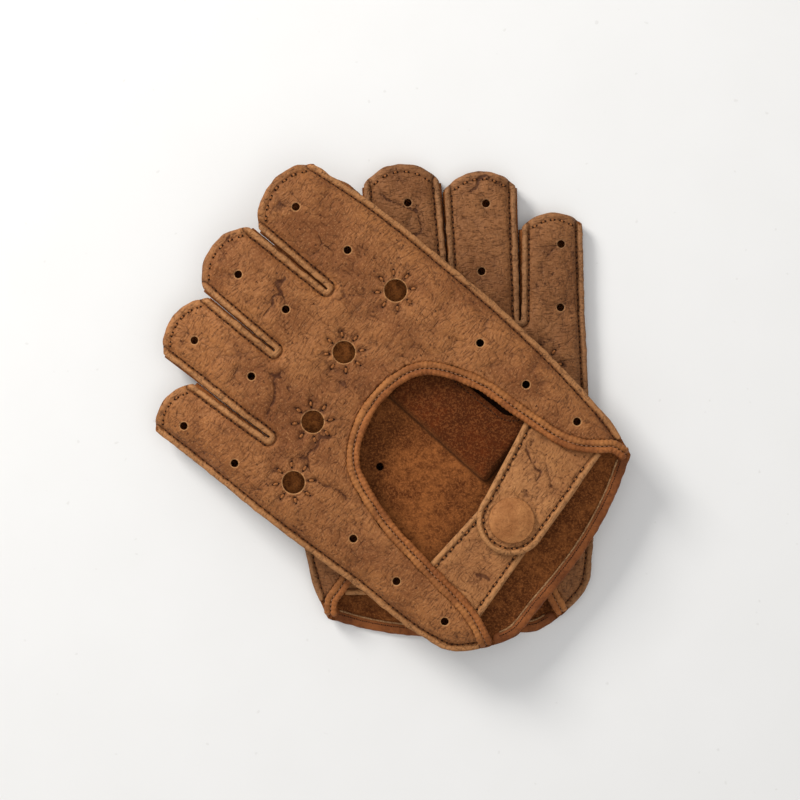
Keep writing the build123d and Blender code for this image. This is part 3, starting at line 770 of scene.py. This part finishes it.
# ================================================================ thumb stall
# A short flat tube of the same hide, open at its tip. It is sewn to the hole in the palm and
# lies folded flat underneath, tip inwards.
stall_x, stall_y = (7.2, 46.8), (40.2, 81.8)
stall_hide = 0.8


def made_plain(piece):
    """Turn what a piece's modifiers make of it into its own plain mesh."""
    bpy.context.view_layer.update()
    shaped = bpy.data.meshes.new_from_object(piece.evaluated_get(bpy.context.evaluated_depsgraph_get()))
    piece.modifiers.clear()
    piece.data = shaped
    return piece


def thicken(piece, amount):
    """Give a thin mesh its thickness, with its second material inside and its third on the rim."""
    solid = piece.modifiers.new("thickness", "SOLIDIFY")
    solid.thickness = amount * 0.001
    solid.offset = 0.0
    solid.material_offset = 1
    solid.material_offset_rim = 2
    return made_plain(piece)


def grid_faces(rows, columns, closed=False):
    faces = []
    for i in range(rows - 1):
        for j in range(columns if closed else columns - 1):
            k = (j + 1) % columns
            faces.append((i * columns + j, (i + 1) * columns + j, (i + 1) * columns + k, i * columns + k))
    return faces


stall_top = 4.1
low_z, high_z = stall_hide / 2 + 0.02, stall_top - stall_hide / 2
middle_z, half_z = (low_z + high_z) / 2, (high_z - low_z) / 2
flat_from, flat_to = stall_y[0] + 2.2, stall_y[1] - 2.2     # the tube's flat sides end here
round_turns = np.linspace(0.3, pi - 0.3, 6)
around = [(y, low_z) for y in np.linspace(flat_from, flat_to, 30)]
around += [(flat_to + 1.8 * sin(a), middle_z - half_z * cos(a)) for a in round_turns]
around += [(y, high_z) for y in np.linspace(flat_to, flat_from, 30)]
around += [(flat_from - 1.8 * sin(a), middle_z + half_z * cos(a)) for a in round_turns]
stations = np.linspace(stall_x[0], stall_x[1], 34)
points = []
for x in stations:
    scoop = ease(np.array([x]), 43.0, 46.8)[0] * (high_z - low_z)
    points += [(x, y, max(z, low_z + scoop)) for y, z in around]
faces = []
n = len(around)
for i in range(len(stations) - 1):
    for j in range(n):
        k = (j + 1) % n
        upper = around[j][1] > high_z - 0.1 and around[k][1] > high_z - 0.1
        if upper and stations[i + 1] > thumb_hole_x[0] + 0.5:
            continue                # the tube is open to the hole in the palm
        faces.append((i * n + k, (i + 1) * n + k, (i + 1) * n + j, i * n + j))
for hand in ("left", "right"):
    # Inside, the tube carries the near-black lining: painted shade.
    piece = make_piece(hand + "_thumb_leather", hand, points, faces, [hides[hand], painted_shade_lining, raw_edge])
    thicken(piece, stall_hide)
    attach(piece, hand + "_glove")
    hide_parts(hand + "_thumb_stall")


# ================================================================ fourchettes
# The narrow strips that join back and palm between the fingers. Each runs down one finger,
# round the end of the slit and up the next, and folds inwards when the glove lies flat.
fourchette_hide = 0.8
strip_rows = 7
fourchette_side = hide_material("fourchette_hide", (0.20, 0.075, 0.022, 1), (0.11, 0.036, 0.010, 1),
                                (0.03, 0.008, 0.002, 1), (0.26, 0.11, 0.04, 1))
strip_low, strip_rise = 2.3, 5.6
slit_names = ("index_middle", "middle_ring", "ring_pinky")


def direction(line):
    """Which way a line runs at each of its points."""
    along = np.gradient(line, axis=0)
    return along / np.linalg.norm(along, axis=1)[:, None]


for slit, name in enumerate(slit_names):
    right, left = slit_sides(slit)
    end = np.array(slit_ends[slit]) - (0, 0.2)
    path = np.concatenate([right[1:] + (0.9, 0), [end + (1.0, -0.7), end + (0, -1.3), end + (-1.0, -0.7)],
                           left[::-1][:-1] - (0.9, 0)])
    path = even_points(path, 0.9)
    along = direction(path)
    outward = np.stack([along[:, 1], -along[:, 0]], axis=1)
    share = (path[:, 1] - end[1]) / (right[0][1] - end[1])
    middle = end[0] + (slit_tops_x[slit] - end[0]) * share
    room = np.clip(np.abs(path[:, 0] - middle) - 0.47, 0, 3) * (path[:, 1] > end[1] - 0.6)
    points = []
    for level in np.linspace(0, 1, strip_rows):
        bulge = outward * (room * sin(pi * level))[:, None]
        points.append(np.column_stack([path + bulge, np.full(len(path), strip_low + strip_rise * level)]))
    points = np.concatenate(points)
    for hand in ("left", "right"):
        faces = grid_faces(strip_rows, len(path))
        piece = make_piece(hand + "_fourchette_" + name + "_leather", hand, points, faces,
                           [fourchette_side, suede, raw_edge])
        thicken(piece, fourchette_hide)
        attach(piece, hand + "_glove")
        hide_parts(hand + "_fourchette_" + name)


# ================================================================ rolled binding of the opening
# Two soft rolls of smoother leather round the arched opening, drawn together by close stitching
# in the ditch between them. Both run out to the corners of the cuff.
roll_radius = 1.28
ditch_pitch = 1.7


def beside(line, distance):
    """A line that runs at an even distance to the left of another."""
    along = direction(line)
    return line + np.stack([-along[:, 1], along[:, 0]], axis=1) * distance


def round_strip(name, hand, path, half_width, half_height, material, pinch, pinch_pitch, wobble):
    """A closed strip of oval section along a line, with ends that taper shut."""
    path = np.asarray(path, float)
    steps = np.linalg.norm(np.diff(path, axis=0), axis=1)
    travel = np.concatenate([[0], np.cumsum(steps)])
    flat = direction(path[:, :2])
    across = np.column_stack([-flat[:, 1], flat[:, 0], np.zeros(len(path))])
    end_gap = np.minimum(travel, travel[-1] - travel)
    size = np.sqrt(np.clip(1 - (1 - np.clip(end_gap / half_width, 0, 1)) ** 2, 0.02, 1))
    size = size * (1 + pinch * np.cos(2 * pi * travel / pinch_pitch))
    size = size * (1 + wobble * np.array([noise.noise((t / 5.0, half_width, 3.0)) for t in travel]))
    count = 14
    points = []
    for i in range(len(path)):
        for k in range(count):
            angle = 2 * pi * k / count
            c, s = cos(angle), sin(angle)
            oval = (abs(c) ** 2.4 + abs(s) ** 2.4) ** (-1 / 2.4)
            reach_out = path[i] + across[i] * c * oval * half_width * size[i]
            points.append(reach_out + np.array([0, 0, s * oval * half_height * size[i]]))
    faces = grid_faces(len(path), count, True)
    faces += [tuple(range(count)), tuple(range((len(path) - 1) * count, len(path) * count))[::-1]]
    return make_piece(name, hand, points, [face[::-1] for face in faces], [material])


def binding_material(name, light, dark, fold):
    """Smooth thin leather drawn tight, with fine cross wrinkles and rubbed high spots."""
    material, tree, shader, place = finish_named(name)
    clouds = grain_noise(tree, place, 120.0, 5.0, 0.65)
    wrinkle = grain_noise(tree, place, 700.0, 4.0, 0.6, 0.6)
    fine = grain_noise(tree, place, 2200.0, 2.0, 0.6)
    colour = blend_colour(tree, reach(tree, clouds, 0.33, 0.67), dark, light)
    colour = blend_colour(tree, reach(tree, wrinkle, 0.34, 0.50, 0.35, 0.0), colour, fold)
    colour = blend_colour(tree, reach(tree, fine, 0.55, 0.75, 0.0, 0.3), colour, light)
    height = weighted(tree, ((wrinkle, 1.6), (fine, 0.5), (clouds, 1.5)))
    paint(tree, shader, colour, reach(tree, clouds, 0.3, 0.7, 0.66, 0.54), height, 0.0004, 0.8)
    shader.inputs["Specular IOR Level"].default_value = 0.18
    return material


outer_binding = binding_material("outer_binding", (0.38, 0.145, 0.040, 1), (0.215, 0.070, 0.018, 1),
                                 (0.06, 0.015, 0.004, 1))
inner_binding = binding_material("inner_binding", (0.35, 0.118, 0.030, 1), (0.20, 0.060, 0.014, 1),
                                 (0.06, 0.014, 0.003, 1))
rolls = (("outer", 1.25, 0.0, outer_binding), ("inner", 3.7, 0.15, inner_binding))
thumb_end, pinky_end = (cuff_thumb[0] + 1.4, 2.4), arch[-1] - (1.8, 3.4)
whole_arch = curve_through(np.concatenate([[thumb_end], arch[2:-5:6], [pinky_end]]), 0.42)


def arch_level(line):
    """Height of the rolls' centre line: level over the hand, falling to the seams at the cuff."""
    to_edge = distance_to(side_lines, line) * inside(line, palm_outline)
    return back_top + 0.15 - (back_top - seam_level) * (1 - mound(to_edge - 0.5, 9.0))


for hand in ("left", "right"):
    for name, inset, drop, binding in rolls:
        line = beside(whole_arch, inset)
        path = np.column_stack([line, arch_level(line) - drop])
        piece = round_strip(hand + "_" + name + "_roll", hand, path, roll_radius, roll_radius * 0.95,
                            binding, 0.085, ditch_pitch, 0.25)
        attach(piece, hand + "_glove")
        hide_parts(hand + "_opening_" + name + "_roll")


# ================================================================ wrist binding
# A flat strip of smooth leather folded over the palm's curved edge and stitched through, with
# its raw inner edge left showing.
wrist_half_width, wrist_half_height = 2.1, 1.12
wrist_binding = binding_material("wrist_binding", (0.27, 0.082, 0.019, 1), (0.155, 0.043, 0.010, 1),
                                 (0.05, 0.012, 0.003, 1))
wrist_path = beside(curve_through(wrist_edge[::5], 0.5), -wrist_half_width)
wrist_path = np.column_stack([wrist_path, palm_level(wrist_path) - palm_top + wrist_half_height + 0.02])
inner_edge = beside(wrist_path[:, :2], -wrist_half_width + 0.1)
inner_edge = np.column_stack([inner_edge, wrist_path[:, 2] + 0.55])
for hand in ("left", "right"):
    piece = round_strip(hand + "_wrist_strip", hand, wrist_path, wrist_half_width, wrist_half_height,
                        wrist_binding, 0.02, 3.2, 0.15)
    cut = round_strip(hand + "_wrist_raw_edge", hand, inner_edge[6:-6], 0.34, 0.4, raw_edge, 0.0, 1.0, 0.4)
    for part in (piece, cut):
        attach(part, hand + "_glove")
        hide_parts(hand + "_wrist_binding")


# ================================================================ snap strap and stud tab
# The strap is one piece of the hide, sewn under the binding on the thumb side. Its stitched
# edge stands up, and its round end carries the snap. The tab below it carries the stud.
snap = np.array((-1.3, 20.6))
strap_end_radius, tab_end_radius = 13.0, 11.5
strap_top, tab_top = 11.8, 9.0
strap_thick, tab_thick = 1.5, 1.1
strap_root_x, tab_root_x = 38.5, -42.0
strap_foot = (10.5, 40.0)


def tongue(foot_x, foot_low, foot_high, end_radius, side):
    """Outline of a strap with a round end about the snap, anticlockwise."""
    upper = snap + (0, end_radius)
    lower = snap - (0, end_radius)
    tip = snap - (side * end_radius, 0)
    foot = straight((foot_x, foot_low), (foot_x, foot_high))
    return [straight((foot_x, foot_high), upper), arc_through(upper, tip, lower),
            straight(lower, (foot_x, foot_low)), foot]


strap_edges = tongue(strap_root_x, strap_foot[0] - 0.7, strap_foot[1] + 1.2, strap_end_radius, 1)
tab_edges = tongue(tab_root_x, snap[1] - 14.0, snap[1] + 14.0, tab_end_radius, -1)
strap_sides = np.concatenate(strap_edges[:3])
tab_sides = np.concatenate([tab_edges[0], tab_edges[2]])
strap_flat, strap_triangles = cut_leather(loop_of(strap_edges), [], 0.7)
tab_flat, tab_triangles = cut_leather(loop_of(tab_edges), [], 0.8)


def strap_level(points):
    """Height of the strap: level over the snap, dipping under the binding at its root."""
    rim = distance_to(strap_sides, points)
    from_snap = np.hypot(points[:, 0] - snap[0], points[:, 1] - snap[1])
    level = strap_top - 3.1 * ease(points[:, 0], 19.0, 30.5)
    level = level + 0.5 * np.exp(-((rim - 1.2) / 0.9) ** 2) - 0.55 * np.exp(-((rim - 2.7) / 0.5) ** 2)
    level -= 0.35 * np.exp(-(rim / 0.4) ** 2)
    return level - 0.45 * np.exp(-((from_snap - 9.2) / 1.2) ** 2)


def tab_level(points):
    rim = distance_to(tab_sides, points)
    level = tab_top - 0.35 * (1 - ease(points[:, 0], -34.0, -26.0))
    return level + 0.4 * np.exp(-((rim - 1.2) / 0.9) ** 2) - 0.5 * np.exp(-((rim - 2.7) / 0.5) ** 2)


strap_tones = {
    "left": ((0.43, 0.185, 0.062, 1), (0.29, 0.110, 0.034, 1), (0.07, 0.019, 0.005, 1), worn_hide),
    "right": ((0.43, 0.19, 0.068, 1), (0.30, 0.12, 0.038, 1), (0.065, 0.02, 0.006, 1), worn_hide),
}
strap_hides = {hand: hide_material(hand + "_strap_hide", *tones) for hand, tones in strap_tones.items()}
strap_rim = distance_to(strap_sides, strap_flat)
tab_rim = distance_to(tab_sides, tab_flat)
for hand, seed in (("left", 41.0), ("right", 47.0)):
    soft = ripple(strap_flat, 12.0, seed + 2) * 0.22 * (distance_to(np.array([snap]), strap_flat) > 9)
    folds = hide_folds(strap_flat, int(seed), 11.0) * np.clip((strap_rim - 3.0) / 2.0, 0, 1)
    heights = strap_level(strap_flat) + soft - 0.3 * folds
    surfaces[hand, "strap"] = (strap_flat, heights)
    marks = {"fold": folds, "seam": nearness(strap_rim)}
    strap = leather_piece(hand + "_strap_leather", hand, strap_flat, strap_triangles, heights, strap_thick,
                          [strap_hides[hand], suede, raw_edge], marks)
    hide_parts(hand + "_snap_strap", hand + "_strap_root")
    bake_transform(strap)
    folds = hide_folds(tab_flat, int(seed) + 3, 11.0) * np.clip((tab_rim - 3.0) / 2.0, 0, 1)
    heights = tab_level(tab_flat) - 0.3 * folds
    surfaces[hand, "tab"] = (tab_flat, heights)
    tab = leather_piece(hand + "_tab_leather", hand, tab_flat, tab_triangles, heights, tab_thick,
                        [strap_hides[hand], suede, raw_edge], {"fold": folds, "seam": nearness(tab_rim)})
    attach(tab, hand + "_glove")
    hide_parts(hand + "_stud_tab")


# ================================================================ snap
# A press snap: a domed metal cap covered in smooth tan leather, its ring socket under the
# strap, and the stud with its flange and rivet plate on the tab, all plated brass.
cap_radius, cap_height = 8.5, 2.7
cap_material = binding_material("cap_leather", (0.44, 0.185, 0.060, 1), (0.285, 0.105, 0.030, 1),
                                (0.15, 0.05, 0.013, 1))
profile = [(0.0, cap_height)]
for share in np.linspace(0.08, 1.0, 16):
    profile.append((cap_radius * 0.93 * share, cap_height - 1.35 * share ** 2.2))
for angle in np.radians(np.linspace(70, -80, 10)):
    profile.append((cap_radius * 0.93 + cap_radius * 0.07 * cos(angle), 0.75 + 0.62 * sin(angle)))
profile.append((cap_radius * 0.9, 0.06))
spokes = 64
for hand in ("left", "right"):
    points = [(snap[0], snap[1], strap_top + cap_height)]
    for radius, z in profile[1:]:
        for k in range(spokes):
            angle = 2 * pi * k / spokes
            lump = 0.05 * noise.noise((radius * cos(angle) / 2.5, radius * sin(angle) / 2.5, 5.0))
            tuck = 0.06 * cos(19 * angle) * (1 - min(1, z / 1.2)) * (radius / cap_radius)
            points.append((snap[0] + (radius + tuck) * cos(angle), snap[1] + (radius + tuck) * sin(angle),
                           strap_top + z + lump))
    faces = [(0, 1 + k, 1 + (k + 1) % spokes) for k in range(spokes)]
    rings = len(profile) - 1
    for i in range(rings - 1):
        for k in range(spokes):
            a, b = 1 + i * spokes + k, 1 + i * spokes + (k + 1) % spokes
            faces.append((a, a + spokes, b + spokes, b))
    last = 1 + (rings - 1) * spokes
    faces.append(tuple(range(last, last + spokes))[::-1])
    cap = make_piece(hand + "_cap_leather", hand, points, faces, [cap_material])
    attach(cap, hand + "_strap")
    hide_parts(hand + "_snap_cap_cover")

brass, tree, shader, place = finish_named("plated_brass")
scratch = grain_noise(tree, place, 900.0, 4.0, 0.5, 1.0)
tarnish = grain_noise(tree, place, 240.0, 4.0)
tone = blend_colour(tree, reach(tree, tarnish, 0.4, 0.7), (0.62, 0.46, 0.22, 1), (0.34, 0.22, 0.09, 1))
paint(tree, shader, tone, reach(tree, scratch, 0.3, 0.7, 0.24, 0.42), scratch, 0.00005, 0.4)
shader.inputs["Metallic"].default_value = 1.0
for hand in ("left", "right"):
    for name in ("snap_cap_shell", "snap_socket", "snap_stud", "stud_eyelet"):
        metal = frame["nodes"][hand + "_" + name]
        metal.data.materials.clear()
        metal.data.materials.append(brass)


# ================================================================ stitches
# Waxed brown thread. Running stitches hold the outseams, hems, bindings, strap and tab, and
# eight short radial stitches ring each knuckle hole. Every stitch pulls into its needle holes.
def thread_material(name, dark, light, scale=2600.0):
    """Waxed twisted thread, matt and slightly uneven."""
    material, tree, shader, place = finish_named(name)
    ply = grain_noise(tree, place, scale, 2.0, 0.6, 1.0)
    tone = blend_colour(tree, reach(tree, ply, 0.35, 0.65), dark, light)
    paint(tree, shader, tone, reach(tree, ply, 0.3, 0.7, 0.85, 0.65), ply, 0.0002, 0.6)
    shader.inputs["Specular IOR Level"].default_value = 0.1
    return material


thread_paint = thread_material("thread", (0.055, 0.017, 0.006, 1), (0.135, 0.047, 0.016, 1))
tan_thread = thread_material("tan_thread", (0.17, 0.058, 0.017, 1), (0.36, 0.14, 0.045, 1), 1900.0)
pale_thread = thread_material("pale_thread", (0.20, 0.08, 0.035, 1), (0.38, 0.19, 0.105, 1))
# The needle holes are near-black blobs at the ends of each stitch: painted shade for the dark inside of each
# hole.
needle_hole_shade = thread_material("needle_hole_shade", (0.010, 0.003, 0.001, 1), (0.032, 0.010, 0.004, 1), 1800.0)


def stitch_tree():
    """Geometry Nodes: one stitch and its two needle holes at every point of a path."""
    group = bpy.data.node_groups.new("stitches_on_path", "GeometryNodeTree")
    face = group.interface
    face.new_socket("Geometry", in_out="INPUT", socket_type="NodeSocketGeometry")
    face.new_socket("Geometry", in_out="OUTPUT", socket_type="NodeSocketGeometry")
    for name in ("Stitch Length", "Thread Width", "Hole Size", "Turn", "Unevenness"):
        face.new_socket(name, in_out="INPUT", socket_type="NodeSocketFloat")
    face.new_socket("Seed", in_out="INPUT", socket_type="NodeSocketInt")
    for name in ("Thread", "Needle Hole"):
        face.new_socket(name, in_out="INPUT", socket_type="NodeSocketMaterial")
    start = group.nodes.new("NodeGroupInput").outputs
    end = group.nodes.new("NodeGroupOutput").inputs

    def node(kind, inputs=(), **settings):
        made = group.nodes.new(kind)
        for key, value in settings.items():
            setattr(made, key, value)
        for key, value in dict(inputs).items():
            if isinstance(value, bpy.types.NodeSocket):
                group.links.new(value, made.inputs[key])
            else:
                made.inputs[key].default_value = value
        return made

    def times(a, b):
        return node("ShaderNodeMath", {0: a, 1: b}, operation="MULTIPLY").outputs[0]

    def triple(x, y, z):
        return node("ShaderNodeCombineXYZ", {0: x, 1: y, 2: z}).outputs[0]

    half = times(start["Stitch Length"], 0.5)
    width = start["Thread Width"]
    path = node("GeometryNodeMeshToCurve", {"Mesh": start["Geometry"]}).outputs["Curve"]
    tangent = node("GeometryNodeInputTangent").outputs[0]
    facing = node("FunctionNodeAlignRotationToVector", {"Vector": tangent}, axis="X").outputs[0]
    upright = node("FunctionNodeAlignRotationToVector", {"Rotation": facing, "Vector": (0, 0, 1)},
                   axis="Z", pivot_axis="X").outputs[0]
    spread = times(start["Unevenness"], 0.35)
    wander = node("FunctionNodeRandomValue", {2: times(spread, -1.0), 3: spread, "Seed": start["Seed"]})
    angle = node("ShaderNodeMath", {0: wander.outputs[1], 1: start["Turn"]}, operation="ADD").outputs[0]
    spin = node("FunctionNodeEulerToRotation", {0: triple(0.0, 0.0, angle)}).outputs[0]
    rotation = node("FunctionNodeRotateRotation", {0: upright, 1: spin}, rotation_space="LOCAL").outputs[0]
    ball = node("GeometryNodeMeshUVSphere", {"Segments": 7, "Rings": 5, "Radius": 1.0}).outputs["Mesh"]
    ball = node("GeometryNodeSetShadeSmooth", {0: ball}).outputs[0]
    strand_size = triple(half, times(width, 0.5), times(width, 0.45))
    strand = node("GeometryNodeTransform", {"Geometry": ball, "Scale": strand_size})
    pits = node("GeometryNodeJoinGeometry")
    wide = start["Hole Size"]
    for side in (-1.0, 1.0):
        shift = triple(times(half, side), 0.0, 0.0)
        size = triple(times(wide, 0.5), times(wide, 0.42), times(wide, 0.25))
        pit = node("GeometryNodeTransform", {"Geometry": ball, "Translation": shift, "Scale": size})
        group.links.new(pit.outputs[0], pits.inputs[0])
    joined = node("GeometryNodeJoinGeometry")
    for shape, material in ((strand.outputs[0], "Thread"), (pits.outputs[0], "Needle Hole")):
        placed = node("GeometryNodeInstanceOnPoints",
                      {"Points": path, "Instance": shape, "Rotation": rotation})
        real = node("GeometryNodeRealizeInstances", {0: placed.outputs[0]})
        painted = node("GeometryNodeSetMaterial", {"Geometry": real.outputs[0], "Material": start[material]})
        group.links.new(painted.outputs[0], joined.inputs[0])
    group.links.new(joined.outputs[0], end[0])
    return group


stitches = stitch_tree()


def sew(name, hand, lines, length, width, hole, material, turn, closed):
    """Sew along some lines of points; the result is one plain mesh."""
    points, edges = [], []
    for line in lines:
        first = len(points)
        points += [tuple(point) for point in lay(hand, line)]
        edges += [(first + i, first + i + 1) for i in range(len(line) - 1)]
        if closed:
            edges.append((len(points) - 1, first))
    mesh = bpy.data.meshes.new(name)
    mesh.from_pydata(points, edges, [])
    piece = bpy.data.objects.new(name, mesh)
    scene.collection.objects.link(piece)
    nodes = piece.modifiers.new("sewing", "NODES")
    nodes.node_group = stitches
    values = {"Stitch Length": length * 0.001, "Thread Width": width * 0.001, "Hole Size": hole * 0.001,
              "Turn": turn, "Unevenness": 0.35, "Seed": 7, "Thread": material, "Needle Hole": needle_hole_shade}
    for item in stitches.interface.items_tree:
        if item.in_out == "INPUT" and item.name in values:
            nodes[item.identifier] = values[item.name]
    return made_plain(piece)


def on_surface(hand, piece, line, lift):
    """Put a flat line on top of a piece of leather."""
    flat, heights = surfaces[hand, piece]
    near = nearest_of(flat)
    z = []
    for x, y in line:
        found = near.find_n((x, y, 0), 3)
        weights = [1 / (gap + 0.05) for _, _, gap in found]
        z.append(sum(w * heights[i] for w, (_, i, _) in zip(weights, found)) / sum(weights) + lift)
    return np.column_stack([line, z])


seam_inset = 2.6
side_seams = [beside(thumb_edge, seam_inset)[5:-4], beside(pinky_edge, seam_inset)[4:-5]]
slit_seams = []
for slit in range(3):
    right, left = slit_sides(slit)
    slit_seams += [beside(right, seam_inset)[4:-1], beside(left, -seam_inset)[4:-1]]
hem_rows = [beside(finger_tip(finger), 3.1)[4:-4] for finger in range(4)]
rings = [circle(centre, knuckle_hole_radius + 2.5, 8) for centre in knuckle_holes]
ditch = beside(whole_arch, 2.5)
ditch = even_points(np.column_stack([ditch, arch_level(ditch) + 0.8])[3:-3], ditch_pitch)
wrist_row = beside(wrist_path[:, :2], -0.7)
wrist_row = np.column_stack([wrist_row, wrist_path[:, 2] + wrist_half_height - 0.05])[8:-8]
strap_row = even_points(np.concatenate([beside(edge, 2.5)[3:-3] for edge in strap_edges[:3]])[6:-6], 4.4)
tab_rows = [beside(tab_edges[0], -2.5)[2:-6], beside(tab_edges[2], -2.5)[6:-2]]
outseams = [even_points(line, 4.0) for line in side_seams + slit_seams]
hems = [even_points(line, 3.9) for line in hem_rows]
tab_rows = [even_points(line, 4.4) for line in tab_rows]
thumb_seam = even_points(beside(thumb_hole, -1.9), 3.2)
# name, leather it lies on, lines, lift, stitch length, thread width, hole size, thread, turn
work = (
    ("outseam", "back", outseams, 0.15, 1.9, 0.75, 0.95, thread_paint, 0.0),
    ("fingertip", "back", hems, 0.15, 1.35, 0.9, 1.05, tan_thread, 0.0),
    ("knuckle", "back", rings, 0.15, 2.2, 1.1, 1.0, tan_thread, pi / 2),
    ("opening", None, [ditch], 0.0, 1.25, 0.42, 0.5, pale_thread, 0.0),
    ("wrist", None, [even_points(wrist_row, 2.4)], 0.0, 1.6, 0.42, 0.6, thread_paint, 0.0),
    ("strap", "strap", [strap_row], 0.15, 1.7, 0.8, 1.1, tan_thread, 0.0),
    ("tab", "tab", tab_rows, 0.15, 1.7, 0.8, 1.1, tan_thread, 0.0),
    ("thumb", "palm", [thumb_seam], 0.1, 2.0, 0.5, 0.7, thread_paint, 0.0),
)
for hand in ("left", "right"):
    for name, leather, lines, lift, length, width, hole, material, turn in work:
        if leather:
            lines = [on_surface(hand, leather, line, lift) for line in lines]
        piece = sew(hand + "_" + name + "_stitches", hand, lines, length, width, hole, material, turn,
                    name in ("knuckle", "thumb"))
        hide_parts(hand + "_" + name + "_thread")
        if name == "strap":
            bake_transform(piece)
        else:
            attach(piece, hand + "_glove")
